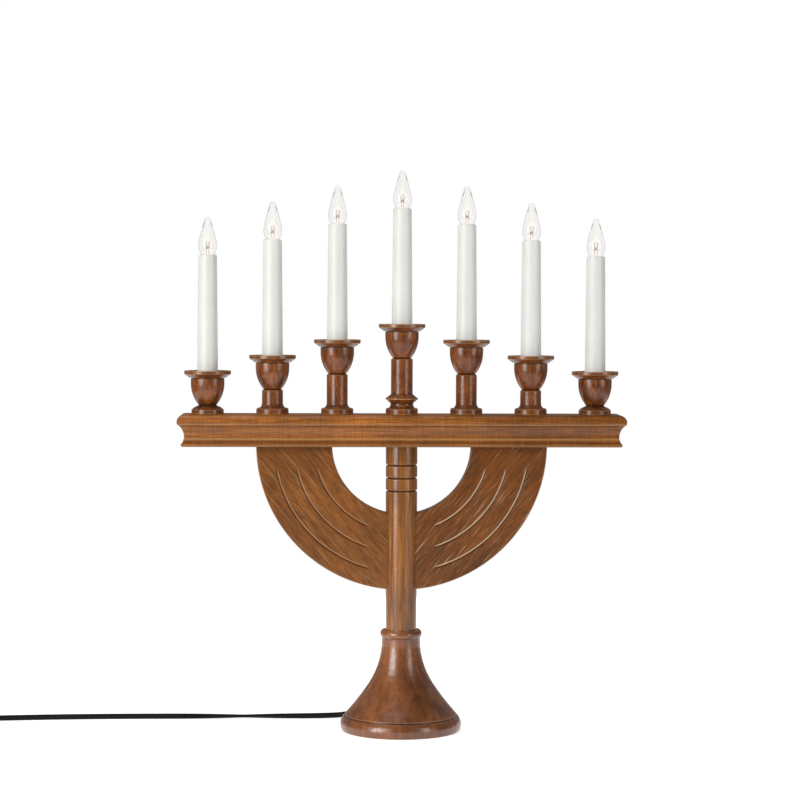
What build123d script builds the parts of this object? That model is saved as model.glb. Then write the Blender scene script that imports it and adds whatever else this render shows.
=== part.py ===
from build123d import *
import os
from math import acos, asin, cos, degrees, dist, pi, radians, sin, sqrt

# Seven-light electric candelabrum in turned and moulded wood, in millimetres.
# The origin is at the middle of the foot's sole, X runs along the beam and -Y is the front.

os.makedirs("parts", exist_ok=True)

# Turned foot
foot_height = 90.2
foot_sole_inset = 1.7
foot_rim_radius = 54.2
foot_rim_widest_height = 5.6
foot_rim_top_radius = 51.4
foot_rim_height = 12.6
foot_quirk_radius = 49.8
foot_quirk_height = 0.5
foot_bell_radius = 50.2
foot_bell_height = 14.2
foot_bell_waist_radius = 29.3
foot_bell_waist_height = 41.0
foot_neck_radius = 17.2
foot_neck_height = 81.0
foot_collar_radius = 18.6
foot_collar_bottom_height = 83.2
foot_collar_top_radius = 17.0
foot_recess_radius = 36.0
foot_recess_height = 12.0
felt_radius = 44.0
felt_thickness = 1.5

# Turned post
post_length = 164.6
post_bottom_radius = 13.75
post_top_radius = 14.1
post_tenon_radius = 9.0
post_tenon_length = 34.0
post_groove_depth = 1.3
post_groove_width = 2.2
post_groove_pitch = 11.5
post_first_groove_drop = 16.8
post_groove_count = 3
wire_bore_radius = 5.0

# Quarter-ring wings
wing_outer_radius = 129.8
wing_inner_radius = 62.1
wing_thickness = 14.0
wing_centre_rise = 1.4
wing_edge_round = 0.8
wing_housing_depth = 2.5
carving_count = 3
carving_inner_margin = 16.3
carving_outer_margin = 15.9
carving_half_width = 0.9
carving_top_drop = 21.4
carving_end_reach = 29.6
dowel_radius = 3.0
dowel_wing_depth = 12.0
dowel_blind_depth = 5.0
dowel_inner_margin = 17.4
dowel_outer_margin = 14.8

# Moulded beam and its underboard
beam_length = 399.0
beam_depth = 46.0
beam_body_height = 22.1
underboard_thickness = 6.5
nose_height = 15.7
nose_top_inset = 6.2
nose_lip_inset = 0.9
nose_lip_height = 12.9
nose_quirk = 0.5
beam_wall_inset = 6.2
beam_wall_height = 2.5
underboard_top_inset = 5.6
underboard_edge_inset = 3.8
underboard_edge_height = 2.8
underboard_sole_inset = 5.2
channel_width = 17.0
channel_depth = 10.0
channel_end_margin = 9.0

# Candle cups, from the outer pair to the middle one
cup_end_margin = 26.4
cup_half_count = 3
cup_outer_height = 38.5
cup_step = 14.0
cup_tenon_radius = 8.0
cup_tenon_length = 9.0
cup_wire_radius = 4.2
cup_rim_radius = 20.8
cup_rim_lip = 2.9
cup_rim_lip_round = 0.6
cup_rim_slope_height = 3.5
cup_rim_slope_radius = 15.9
cup_dish_depth = 1.2
cup_dish_edge = 1.6
cup_quirk_radius = 14.5
cup_quirk_height = 0.8
cup_bowl_radius = 14.95
cup_bowl_straight = 4.0
cup_bowl_height = 23.5
cup_neck_radius = 7.8
cup_column_radius = 9.35
cup_column_round = 1.6
cup_cove_height = 10.0
cup_cove_foot_radius = 11.9
cup_cove_foot_height = 5.3
cup_disc_radius = 14.4
cup_disc_edge_height = 3.8
cup_squat_shoulder_radius = 9.4
cup_squat_shoulder_drop = 0.5
collar_edge_radius = 14.6
collar_edge_height = 13.8
collar_edge_round = 0.9
collar_half_height = 4.2
collar_waist_radius = 10.1
collar_column_radius = 9.7

# Candle sleeves
sleeve_bottom_radius = 9.2
sleeve_top_radius = 8.2
sleeve_visible_length = 102.7
sleeve_seat_depth = 12.0
sleeve_wall = 1.0
sleeve_lip_round = 0.35
sleeve_shelf_thickness = 1.6
sleeve_shelf_radius = 5.6
seat_clearance = 0.05

# Lamp holder, its screw shell and the sprung centre contact
holder_top_drop = 2.0
holder_length = 20.0
holder_clearance = 0.1
shell_length = 10.0
shell_wall = 0.4
chamber_depth = 4.5
chamber_radius = 3.6
contact_head_radius = 2.4
contact_head_thickness = 0.9
contact_stem_radius = 1.5
contact_stem_length = 7.1
running_clearance = 0.05
terminal_offset = 3.0

# Screw-base candle lamp
cap_radius = 4.77
cap_wall = 0.4
cap_length = 8.0
cap_cone_height = 1.9
cap_tip_radius = 1.8
cap_tip_height = 0.6
thread_clearance = 0.08
lamp_drop = 2.5
glass_wall = 0.7
glass_neck_length = 4.5
glass_shoulder_radius = 7.2
glass_shoulder_height = 2.7
glass_belly_radius = 8.25
glass_belly_height = 7.5
glass_cone_radius = 7.0
glass_cone_height = 16.1
glass_tip_radius = 2.6
glass_tip_height = 32.1
glass_height = 34.0
filament_wire_radius = 0.35
filament_half_span = 1.4
filament_height = 14.0
filament_bend = 1.2
bead_cover = 0.9
bead_height = 2.6
bead_middle_height = 7.0
bead_round = 0.8

# Wiring
wire_radius = 0.9
wire_bend = 2.0
link_rise = 2.4
feed_rise = 7.0
feed_side_offset = 6.0
feed_ease = 14.0

# Mains lead, plug and tie
cord_diameter = 4.6
cord_exit_bearing = 132.0
cord_exit_height = 5.4
cord_inner_bend = 14.0
bushing_radius = 3.6
bushing_tip_radius = 3.0
bushing_reach = 7.0
cord_bore_clearance = 0.05
cord_route = [
    (-45.30, 50.31, 5.4),
    (-50.81, 53.76, 4.8),
    (-57.06, 55.55, 3.8),
    (-238.0, 55.5, 2.4),
    (-302.0, 53.3, 2.4),
    (-364.0, 47.9, 3.2),
    (-410.0, 41.4, 3.2),
]
fillet_run_share = 0.45
sample_spacing = 1.5
coil_gap = 0.5
coil_climb_radius = 16.5
coil_half_turns = 8
tail_level = 10.0
tail_end = 9.0
tail_slope = 14.0
tie_thickness = 0.6
tie_width = 5.0
plug_axis_height = 6.85
plug_width = 35.3
plug_thickness = 13.7
plug_face_length = 16.0
plug_body_length = 33.0
plug_face_round = 1.0
plug_tail_width = 12.5
plug_tail_thickness = 9.2
plug_neck_length = 18.0
plug_neck_radius = 4.2
plug_neck_tip_radius = 3.1
plug_neck_ring_count = 4
plug_neck_ring_depth = 0.6
plug_neck_ring_share = 0.45
pin_radius = 2.0
pin_length = 19.0
pin_sleeve_length = 10.0
pin_sleeve_radius = 1.75
pin_core_radius = 1.25
pin_spacing = 18.6
pin_root = 8.0
pin_tip_round = 0.9
overrun = 1.0

# Heights and places that follow
underside = foot_height + post_length
seam = underside + underboard_thickness
beam_top = seam + beam_body_height
channel_top = seam + channel_depth
wing_centre = underside + wing_centre_rise
wing_root = post_top_radius - wing_housing_depth
dowel_reaches = (wing_inner_radius + dowel_inner_margin, wing_outer_radius - dowel_outer_margin)
first_carving = wing_inner_radius + carving_inner_margin
carving_pitch = (wing_outer_radius - carving_outer_margin - first_carving) / (carving_count - 1)
carving_radii = [first_carving + index * carving_pitch for index in range(carving_count)]
cup_slots = range(-cup_half_count, cup_half_count + 1)
cup_pitch = (beam_length / 2 - cup_end_margin) / cup_half_count
cup_places = [slot * cup_pitch for slot in cup_slots]
cup_heights = [cup_outer_height + (cup_half_count - abs(slot)) * cup_step for slot in cup_slots]
channel_length = cup_places[-1] - cup_places[0] + channel_end_margin + channel_end_margin
sleeve_tops = [beam_top + height + sleeve_visible_length for height in cup_heights]
sleeve_bore_radius = sleeve_top_radius - sleeve_wall
holder_bottom_drop = holder_top_drop + holder_length
shell_bore_radius = cap_radius + thread_clearance
shell_radius = shell_bore_radius + shell_wall
shell_bottom_drop = holder_top_drop + shell_length
chamber_floor_drop = shell_bottom_drop + chamber_depth
cap_bottom_drop = lamp_drop + cap_length
lamp_tip_drop = cap_bottom_drop + cap_cone_height + cap_tip_height
neck_radius = cap_radius - cap_wall
foot_sole_radius = foot_rim_radius - foot_sole_inset
bead_radius = filament_half_span + bead_cover
cord_radius = cord_diameter / 2
cord_section = pi * cord_radius**2
exit_way = Vector(cos(radians(cord_exit_bearing)), sin(radians(cord_exit_bearing)), 0)
bushing_tip = exit_way * (foot_rim_radius + bushing_reach) + Vector(0, 0, cord_exit_height)


def upright(x, z):
    """The front-facing upright plane through (x, 0, z): its own x is X and its own y is Z."""
    return Plane(origin=(x, 0, z), x_dir=(1, 0, 0), z_dir=(0, -1, 0))


def standing_axis(x):
    """The vertical axis at x on the beam's middle line."""
    return Axis((x, 0, 0), (0, 0, 1))


def write(part, name):
    """Label a finished piece and write its STEP file."""
    part.label = name
    export_step(part, f"parts/{name}.step")


def corner_radii(points):
    """The largest even fillet that each inner corner of a route allows."""
    radii = []
    for before, corner, after in zip(points, points[1:], points[2:]):
        arriving, leaving = corner - before, after - corner
        half_turn = radians(arriving.get_angle(leaving)) / 2
        shorter = min(arriving.length, leaving.length)
        radii.append(fillet_run_share * shorter * cos(half_turn) / sin(half_turn))
    return radii


def wing_face(side):
    """Sketch of one quarter ring, seen from the front; side is -1 for the left and 1 for the right."""
    reach = wing_outer_radius - wing_root
    drop = wing_outer_radius - wing_centre_rise
    Circle(wing_outer_radius)
    Circle(wing_inner_radius, mode=Mode.SUBTRACT)
    with Locations((side * (wing_root + reach / 2), -wing_centre_rise - drop / 2)):
        Rectangle(reach, drop, mode=Mode.INTERSECT)


def dowel_seats(side):
    """Planes at one wing's four dowels: each lies on the joint and points out of the wing."""
    seats = []
    for radius in dowel_reaches:
        seats.append(Plane(origin=(side * radius, 0, underside), z_dir=(0, 0, 1)))
        root = (side * wing_root, 0, wing_centre - radius)
        seats.append(Plane(origin=root, x_dir=(0, 1, 0), z_dir=(-side, 0, 0)))
    return seats


# Foot: a bell on a rounded rim, hollowed below for the lead
with BuildPart() as foot:
    with BuildSketch(Plane.XZ):
        with BuildLine():
            sole = Line((0, 0), (foot_sole_radius, 0))
            rim = ThreePointArc(
                sole @ 1,
                (foot_rim_radius, foot_rim_widest_height),
                (foot_rim_top_radius, foot_rim_height),
            )
            quirk_floor = Line(rim @ 1, (foot_quirk_radius, foot_rim_height + foot_quirk_height))
            quirk_wall = Line(quirk_floor @ 1, (foot_bell_radius, foot_bell_height))
            neck = (foot_neck_radius, foot_neck_height)
            upper_bell = TangentArc(
                neck, (foot_bell_waist_radius, foot_bell_waist_height), tangent=(0, -1)
            )
            TangentArc(upper_bell @ 1, quirk_wall @ 1, tangent=upper_bell % 1)
            neck_wall = Line(neck, (foot_neck_radius, foot_collar_bottom_height))
            collar_middle = (foot_collar_bottom_height + foot_height) / 2
            collar = ThreePointArc(
                neck_wall @ 1,
                (foot_collar_radius, collar_middle),
                (foot_collar_top_radius, foot_height),
            )
            Polyline(collar @ 1, (0, foot_height), (0, 0))
        make_face()
    revolve(axis=Axis.Z)
    with BuildSketch(Plane.XY):
        Circle(felt_radius)
    extrude(amount=felt_thickness, mode=Mode.SUBTRACT)
    with BuildSketch(Plane.XY.offset(felt_thickness)):
        Circle(foot_recess_radius)
    extrude(amount=foot_recess_height - felt_thickness, mode=Mode.SUBTRACT)
    with BuildSketch(Plane.XY.offset(foot_height)):
        Circle(post_tenon_radius)
    extrude(amount=-post_tenon_length, mode=Mode.SUBTRACT)
    with BuildSketch(Plane.XY.offset(foot_recess_height)):
        Circle(wire_bore_radius)
    extrude(amount=foot_height - foot_recess_height, mode=Mode.SUBTRACT)
    with BuildSketch(Plane(origin=(0, 0, cord_exit_height), x_dir=(0, 0, 1), z_dir=exit_way)):
        Circle(bushing_radius)
    extrude(amount=foot_rim_radius + overrun, mode=Mode.SUBTRACT)
write(foot.part, "foot")

with BuildPart() as felt_pad:
    with BuildSketch(Plane.XY):
        Circle(felt_radius)
    extrude(amount=felt_thickness)
write(felt_pad.part, "felt_pad")

# Post: a tapered turning with ring grooves, bored for the lead and housed for the wings
groove_half = post_groove_width / 2
with BuildPart() as post:
    with BuildSketch(Plane.XZ):
        with BuildLine():
            shaft = Line((post_bottom_radius, foot_height), (post_top_radius, underside))
            Polyline(
                shaft @ 1,
                (post_tenon_radius, underside),
                (post_tenon_radius, seam),
                (wire_bore_radius, seam),
                (wire_bore_radius, foot_height - post_tenon_length),
                (post_tenon_radius, foot_height - post_tenon_length),
                (post_tenon_radius, foot_height),
                shaft @ 0,
            )
        make_face()
        for ring in range(post_groove_count):
            height = underside - post_first_groove_drop - ring * post_groove_pitch
            with BuildLine():
                Polyline(
                    (post_top_radius, height + groove_half),
                    (post_top_radius - post_groove_depth, height),
                    (post_top_radius, height - groove_half),
                    close=True,
                )
            make_face(mode=Mode.SUBTRACT)
    revolve(axis=Axis.Z)
    for side in (-1, 1):
        with BuildSketch(upright(0, wing_centre)):
            wing_face(side)
        extrude(amount=wing_thickness / 2, both=True, mode=Mode.SUBTRACT)
        for seat in dowel_seats(side):
            with BuildSketch(seat):
                Circle(dowel_radius)
            extrude(amount=dowel_blind_depth, mode=Mode.SUBTRACT)
write(post.part, "post")

# Wings: quarter rings with carved arcs on the front, dowelled to the post and the underboard
for side, wing_name in ((-1, "left_wing"), (1, "right_wing")):
    with BuildPart() as wing:
        with BuildSketch(upright(0, wing_centre)):
            wing_face(side)
        extrude(amount=wing_thickness / 2, both=True)
        fillet(wing.edges().filter_by(GeomType.CIRCLE), radius=wing_edge_round)
        for radius in carving_radii:
            first = asin(carving_top_drop / radius)
            last = acos(carving_end_reach / radius)
            outward = (side * cos(first), 0, -sin(first))
            onward = (-side * sin(first), 0, -cos(first))
            with BuildSketch(Plane(origin=(0, 0, wing_centre), x_dir=outward, z_dir=onward)):
                with Locations((radius, side * wing_thickness / 2)):
                    Circle(carving_half_width)
            ring_axis = Axis((0, 0, wing_centre), (0, side, 0))
            revolve(axis=ring_axis, revolution_arc=degrees(last - first), mode=Mode.SUBTRACT)
        for seat in dowel_seats(side):
            with BuildSketch(seat):
                Circle(dowel_radius)
            extrude(amount=-dowel_wing_depth, mode=Mode.SUBTRACT)
    write(wing.part, wing_name)

with BuildPart() as dowels:
    for side in (-1, 1):
        for seat in dowel_seats(side):
            with BuildSketch(seat.offset(-dowel_wing_depth)):
                Circle(dowel_radius)
            extrude(amount=dowel_wing_depth + dowel_blind_depth)
write(dowels.part, "dowels")


def beam_outline(half_span):
    """Section of the beam's body above the seam, drawn from its middle line."""
    wall_x = half_span - beam_wall_inset
    lip = (half_span - nose_lip_inset, nose_lip_height)
    cove_top = (half_span - nose_lip_inset - nose_quirk, nose_lip_height)
    nose = (half_span, nose_height)
    floor = Line((0, 0), (wall_x, 0))
    wall = Line(floor @ 1, (wall_x, beam_wall_height))
    TangentArc(wall @ 1, cove_top, tangent=wall % 1)
    Line(cove_top, lip)
    TangentArc(nose, lip, tangent=(0, -1))
    crown = TangentArc(nose, (half_span - nose_top_inset, beam_body_height), tangent=(0, 1))
    Line(crown @ 1, (0, beam_body_height))
    mirror(about=Plane.YZ)


def underboard_outline(half_span):
    """Section of the board under the seam, drawn from its middle line."""
    edge = (half_span - underboard_edge_inset, underboard_edge_height)
    top_corner = (half_span - underboard_top_inset, underboard_thickness)
    sole = Line((0, 0), (half_span - underboard_sole_inset, 0))
    TangentArc(sole @ 1, edge, tangent=sole % 1)
    TangentArc(top_corner, edge, tangent=(0, -1))
    Line(top_corner, (0, underboard_thickness))
    mirror(about=Plane.YZ)


def lengthwise(z):
    """The upright plane across the beam at height z: its own x is Y and its own y is Z."""
    return Plane(origin=(0, 0, z), x_dir=(0, 1, 0), z_dir=(1, 0, 0))


# Beam: the same moulding along the sides and round the ends, with a wire channel underneath
with BuildPart() as beam:
    with BuildSketch(lengthwise(seam)):
        with BuildLine():
            beam_outline(beam_depth / 2)
        make_face()
    extrude(amount=beam_length / 2, both=True)
    with BuildSketch(upright(0, seam)):
        with BuildLine():
            beam_outline(beam_length / 2)
        make_face()
    extrude(amount=beam_depth / 2, both=True, mode=Mode.INTERSECT)
    with BuildSketch(Plane.XY.offset(seam)):
        Rectangle(channel_length, channel_width)
    extrude(amount=channel_depth, mode=Mode.SUBTRACT)
    with BuildSketch(Plane.XY.offset(beam_top)):
        with Locations([(x, 0) for x in cup_places]):
            Circle(cup_tenon_radius)
    extrude(amount=-cup_tenon_length, mode=Mode.SUBTRACT)
    with BuildSketch(Plane.XY.offset(channel_top)):
        with Locations([(x, 0) for x in cup_places]):
            Circle(cup_wire_radius)
    extrude(amount=beam_top - channel_top, mode=Mode.SUBTRACT)
write(beam.part, "beam")

with BuildPart() as underboard:
    with BuildSketch(lengthwise(underside)):
        with BuildLine():
            underboard_outline(beam_depth / 2)
        make_face()
    extrude(amount=beam_length / 2, both=True)
    with BuildSketch(upright(0, underside)):
        with BuildLine():
            underboard_outline(beam_length / 2)
        make_face()
    extrude(amount=beam_depth / 2, both=True, mode=Mode.INTERSECT)
    with BuildSketch(Plane.XY.offset(underside)):
        Circle(post_tenon_radius)
    extrude(amount=underboard_thickness, mode=Mode.SUBTRACT)
    with BuildSketch(Plane.XY.offset(underside)):
        with Locations([(side * radius, 0) for side in (-1, 1) for radius in dowel_reaches]):
            Circle(dowel_radius)
    extrude(amount=dowel_blind_depth, mode=Mode.SUBTRACT)
write(underboard.part, "beam_underboard")


def cup_head(height, neck):
    """The upper part of a cup's outline: tenon bore, sleeve socket, dished rim and bowl to the neck."""
    bowl_top = neck + cup_bowl_height
    slope_bottom = bowl_top + cup_quirk_height
    lip_bottom = height - cup_rim_lip
    socket = sleeve_bottom_radius + seat_clearance
    bowl_start = (cup_bowl_radius, bowl_top - cup_bowl_straight)
    dish = (cup_rim_radius - cup_dish_edge - cup_dish_depth, height - cup_dish_depth)
    Polyline(
        (cup_tenon_radius, -cup_tenon_length),
        (cup_wire_radius, -cup_tenon_length),
        (cup_wire_radius, height - sleeve_seat_depth),
        (socket, height - sleeve_seat_depth),
        (socket, height - cup_dish_depth),
        dish,
        (cup_rim_radius - cup_dish_edge, height),
        (cup_rim_radius - cup_rim_lip_round, height),
        (cup_rim_radius, height - cup_rim_lip_round),
        (cup_rim_radius, lip_bottom),
        (cup_rim_slope_radius, slope_bottom),
        (cup_quirk_radius, slope_bottom),
        (cup_quirk_radius, bowl_top),
        (cup_bowl_radius, bowl_top),
        bowl_start,
    )
    TangentArc(bowl_start, (cup_neck_radius, neck), tangent=(0, -1))


def cup_disc():
    """The tenon's side and the flat disc that stands on the beam."""
    Polyline(
        (cup_tenon_radius, -cup_tenon_length),
        (cup_tenon_radius, 0),
        (cup_disc_radius, 0),
        (cup_disc_radius, cup_disc_edge_height),
    )


def squat_stem(neck):
    """The outer cups' stem: the disc's shoulder rises straight to the neck."""
    shoulder = (cup_squat_shoulder_radius, neck - cup_squat_shoulder_drop)
    TangentArc((cup_disc_radius, cup_disc_edge_height), shoulder, tangent=(0, 1))
    Line(shoulder, (cup_neck_radius, neck))


def column_top(neck, bottom, radius):
    """The plain column from a height up to its rounded top at the neck."""
    column = Line((radius, bottom), (radius, neck - cup_column_round))
    TangentArc(column @ 1, (cup_neck_radius, neck), tangent=column % 1)


def disc_shoulder():
    """The rounded top edge of the disc."""
    cove_foot = (cup_cove_foot_radius, cup_cove_foot_height)
    TangentArc((cup_disc_radius, cup_disc_edge_height), cove_foot, tangent=(0, 1))
    return cove_foot


def column_stem(neck):
    """The middle pairs' stem: a cove from the disc to a plain column."""
    cove_foot = disc_shoulder()
    TangentArc((cup_column_radius, cup_cove_height), cove_foot, tangent=(0, -1))
    column_top(neck, cup_cove_height, cup_column_radius)


def collared_stem(neck):
    """The middle cup's stem: a bevelled collar between the cove and the column."""
    cove_foot = disc_shoulder()
    waist = (collar_waist_radius, collar_edge_height - collar_half_height)
    column_foot = (collar_column_radius, collar_edge_height + collar_half_height)
    bevel_radius = collar_edge_radius - collar_edge_round
    lower_bevel = (bevel_radius, collar_edge_height - collar_edge_round)
    upper_bevel = (bevel_radius, collar_edge_height + collar_edge_round)
    TangentArc(waist, cove_foot, tangent=(0, -1))
    Line(waist, lower_bevel)
    ThreePointArc(lower_bevel, (collar_edge_radius, collar_edge_height), upper_bevel)
    Line(upper_bevel, column_foot)
    column_top(neck, column_foot[1], collar_column_radius)


stems = (squat_stem, column_stem, column_stem, collared_stem)

# Cups: one turning for each candle, tenoned into the beam
for number, (slot, x, height) in enumerate(zip(cup_slots, cup_places, cup_heights), start=1):
    neck = height - cup_rim_lip - cup_rim_slope_height - cup_quirk_height - cup_bowl_height
    with BuildPart() as cup:
        with BuildSketch(upright(x, beam_top)):
            with BuildLine():
                cup_head(height, neck)
                cup_disc()
                stems[cup_half_count - abs(slot)](neck)
            make_face()
        revolve(axis=standing_axis(x))
    write(cup.part, f"candle_cup_{number}")

# Sleeves: tapered tubes that stand in the cups and carry the lamp holders on an inner shelf
sleeve_foot = -sleeve_visible_length - sleeve_seat_depth
shelf_top = -holder_bottom_drop
shelf_bottom = shelf_top - sleeve_shelf_thickness
for number, (x, top) in enumerate(zip(cup_places, sleeve_tops), start=1):
    with BuildPart() as sleeve:
        with BuildSketch(upright(x, top)):
            with BuildLine():
                Polyline(
                    (sleeve_bottom_radius, sleeve_foot),
                    (sleeve_bottom_radius, -sleeve_visible_length),
                    (sleeve_top_radius, -sleeve_lip_round),
                    (sleeve_top_radius - sleeve_lip_round, 0),
                    (sleeve_bore_radius, 0),
                    (sleeve_bore_radius, shelf_top),
                    (sleeve_shelf_radius, shelf_top),
                    (sleeve_shelf_radius, shelf_bottom),
                    (sleeve_bore_radius, shelf_bottom),
                    (sleeve_bottom_radius - sleeve_wall, -sleeve_visible_length),
                    (sleeve_bottom_radius - sleeve_wall, sleeve_foot),
                    close=True,
                )
            make_face()
        revolve(axis=standing_axis(x))
    write(sleeve.part, f"candle_sleeve_{number}")

# Lamp holders and their screw shells, one of each in every sleeve
guide_radius = contact_stem_radius + running_clearance
holder_radius = sleeve_bore_radius - holder_clearance
with BuildPart() as lamp_holders:
    for x, top in zip(cup_places, sleeve_tops):
        with BuildSketch(upright(x, top)):
            with BuildLine():
                Polyline(
                    (holder_radius, -holder_bottom_drop),
                    (holder_radius, -holder_top_drop),
                    (shell_radius, -holder_top_drop),
                    (shell_radius, -shell_bottom_drop),
                    (chamber_radius, -shell_bottom_drop),
                    (chamber_radius, -chamber_floor_drop),
                    (guide_radius, -chamber_floor_drop),
                    (guide_radius, -holder_bottom_drop),
                    close=True,
                )
            make_face()
        revolve(axis=standing_axis(x))
write(lamp_holders.part, "lamp_holders")

with BuildPart() as holder_shells:
    for x, top in zip(cup_places, sleeve_tops):
        with BuildSketch(Plane(origin=(x, 0, top - shell_bottom_drop))):
            Circle(shell_radius)
            Circle(shell_bore_radius, mode=Mode.SUBTRACT)
        extrude(amount=shell_length)
write(holder_shells.part, "holder_shells")


def glass_outline(inset):
    """Half section of a candle lamp's glass, drawn inset from its outer face and closed on its axis."""
    neck_bottom = (neck_radius - inset, -lamp_drop - glass_neck_length)
    neck_top = (neck_radius - inset, -lamp_drop)
    belly = (glass_belly_radius - inset, glass_belly_height)
    cone_foot = (glass_cone_radius - inset, glass_cone_height)
    cone_top = (glass_tip_radius - inset, glass_tip_height - inset)
    Line(neck_bottom, neck_top)
    ThreePointArc(neck_top, (glass_shoulder_radius - inset, glass_shoulder_height), belly)
    TangentArc(belly, cone_foot, tangent=(0, 1))
    Line(cone_foot, cone_top)
    tip = TangentArc((0, glass_height - inset), cone_top, tangent=(1, 0))
    Polyline(tip @ 0, (0, neck_bottom[1]), neck_bottom)


# Lamps: sprung contact, screw cap, filament and glass, one set for every candle
for number, (x, top) in enumerate(zip(cup_places, sleeve_tops), start=1):
    with BuildPart() as spring_contact:
        head_bottom = lamp_tip_drop + contact_head_thickness
        with BuildSketch(Plane(origin=(x, 0, top - head_bottom))):
            Circle(contact_head_radius)
        extrude(amount=contact_head_thickness)
        with BuildSketch(Plane(origin=(x, 0, top - head_bottom))):
            Circle(contact_stem_radius)
        extrude(amount=-contact_stem_length)
    write(spring_contact.part, f"spring_contact_{number}")

    with BuildPart() as bulb_cap:
        with BuildSketch(upright(x, top)):
            with BuildLine():
                Polyline(
                    (0, -lamp_tip_drop),
                    (cap_tip_radius, -lamp_tip_drop),
                    (cap_tip_radius, -lamp_tip_drop + cap_tip_height),
                    (cap_radius, -cap_bottom_drop),
                    (cap_radius, -lamp_drop),
                    (neck_radius, -lamp_drop),
                    (neck_radius, -cap_bottom_drop + cap_wall),
                    (0, -cap_bottom_drop + cap_wall),
                    close=True,
                )
            make_face()
        revolve(axis=standing_axis(x))
    write(bulb_cap.part, f"bulb_cap_{number}")

    with BuildPart() as bulb_glass:
        with BuildSketch(upright(x, top)):
            with BuildLine():
                glass_outline(0)
            make_face()
            with BuildLine():
                glass_outline(glass_wall)
            make_face(mode=Mode.SUBTRACT)
        revolve(axis=standing_axis(x))
    write(bulb_glass.part, f"bulb_glass_{number}")

    lead_foot = -cap_bottom_drop + cap_wall
    with BuildLine(upright(x, top)) as hairpin:
        FilletPolyline(
            (-filament_half_span, lead_foot),
            (-filament_half_span, filament_height),
            (filament_half_span, filament_height),
            (filament_half_span, lead_foot),
            radius=filament_bend,
        )
    with BuildPart() as bulb_filament:
        with BuildSketch(Plane(origin=(x, 0, top + bead_middle_height))):
            Circle(bead_radius)
        extrude(amount=bead_height / 2, both=True)
        fillet(bulb_filament.edges().filter_by(GeomType.CIRCLE), radius=bead_round)
        with BuildSketch(Plane(origin=hairpin.line @ 0, z_dir=hairpin.line % 0)):
            Circle(filament_wire_radius)
        sweep(path=hairpin.line)
    write(bulb_filament.part, f"bulb_filament_{number}")

# Wiring: the lamps are in series, with a link between neighbours and two feeds from the lead
holder_bottoms = [top - holder_bottom_drop for top in sleeve_tops]
link_level = seam + link_rise
feed_level = seam + feed_rise
lead_top = seam - overrun
terminals = list(zip(cup_places, holder_bottoms))
wire_routes = []
for (x, bottom), (next_x, next_bottom) in zip(terminals, terminals[1:]):
    wire_routes.append(
        [
            (x, -terminal_offset, bottom),
            (x, -terminal_offset, link_level),
            (next_x, terminal_offset, link_level),
            (next_x, terminal_offset, next_bottom),
        ]
    )
for side, (x, bottom) in ((-1, terminals[0]), (1, terminals[-1])):
    start_x = side * cord_radius / 2
    side_y = -side * feed_side_offset
    wire_routes.append(
        [
            (start_x, 0, lead_top),
            (start_x, 0, feed_level),
            (start_x + side * feed_ease, side_y, feed_level),
            (x - side * feed_ease, side_y, feed_level),
            (x, -side * terminal_offset, feed_level),
            (x, -side * terminal_offset, bottom),
        ]
    )
with BuildPart() as lamp_wires:
    for route in wire_routes:
        with BuildLine() as wire_path:
            FilletPolyline(*route, radius=wire_bend)
        with BuildSketch(Plane(origin=wire_path.line @ 0, z_dir=wire_path.line % 0)):
            Circle(wire_radius)
        sweep()
write(lamp_wires.part, "lamp_wires")

with BuildPart() as inner_cord:
    with BuildLine() as lead_path:
        FilletPolyline(
            bushing_tip, (0, 0, cord_exit_height), (0, 0, lead_top), radius=cord_inner_bend
        )
    with BuildSketch(Plane(origin=lead_path.line @ 0, z_dir=lead_path.line % 0)):
        Circle(cord_radius)
    sweep()
write(inner_cord.part, "inner_cord")

# Bushing: a soft sleeve with a tapered boot where the lead leaves the foot
with BuildPart() as cord_bushing:
    across = exit_way.cross(Vector(0, 0, 1))
    bushing_plane = Plane(origin=(0, 0, cord_exit_height), x_dir=exit_way, z_dir=across)
    with BuildSketch(bushing_plane):
        with BuildLine():
            Polyline(
                (foot_recess_radius, cord_radius + cord_bore_clearance),
                (foot_recess_radius, bushing_radius),
                (foot_rim_radius, bushing_radius),
                (foot_rim_radius + bushing_reach, bushing_tip_radius),
                (foot_rim_radius + bushing_reach, cord_radius + cord_bore_clearance),
                close=True,
            )
        make_face()
    revolve(axis=Axis((0, 0, cord_exit_height), exit_way))
write(cord_bushing.part, "cord_bushing")

# Mains lead: along the floor from the bushing to the coil
route_points = [bushing_tip] + [Vector(*point) for point in cord_route]
route_radii = corner_radii(route_points)
with BuildPart() as cord_run:
    with BuildLine() as run_path:
        FilletPolyline(*route_points, radius=route_radii)
    with BuildSketch(Plane(origin=run_path.line @ 0, z_dir=run_path.line % 0)):
        Circle(cord_radius)
    sweep()
write(cord_run.part, "cord_run")
run_length = run_path.wire().length
run_fill = cord_run.part.volume / (cord_section * run_length)
print("lead: least bend radius", round(min(route_radii), 1), "mm")
print("lead: length", round(run_length, 1), "mm")
print("lead: volume over section times length", round(run_fill, 4))

# Coil: one tube that winds in on the floor, climbs half a turn and winds out on top
coil_pitch = cord_diameter + coil_gap
half_step = coil_pitch / 2
coil_low = route_points[-1].Z
coil_high = coil_low + coil_pitch
coil_radius = coil_climb_radius + coil_half_turns * half_step
coil_way = (route_points[-1] - route_points[-2]).normalized()
coil_side = Vector(coil_way.Y, -coil_way.X, 0)
coil_start = route_points[-1] + coil_way * cord_diameter
coil_middle = coil_start - coil_side * coil_radius
tail_length = tail_level + tail_slope + tail_end


def from_coil(x, y, z):
    """The world point at x and y from the coil's middle, with y along the lead, and at height z."""
    return Vector(coil_middle.X, coil_middle.Y, z) + coil_side * x + coil_way * y


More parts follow.
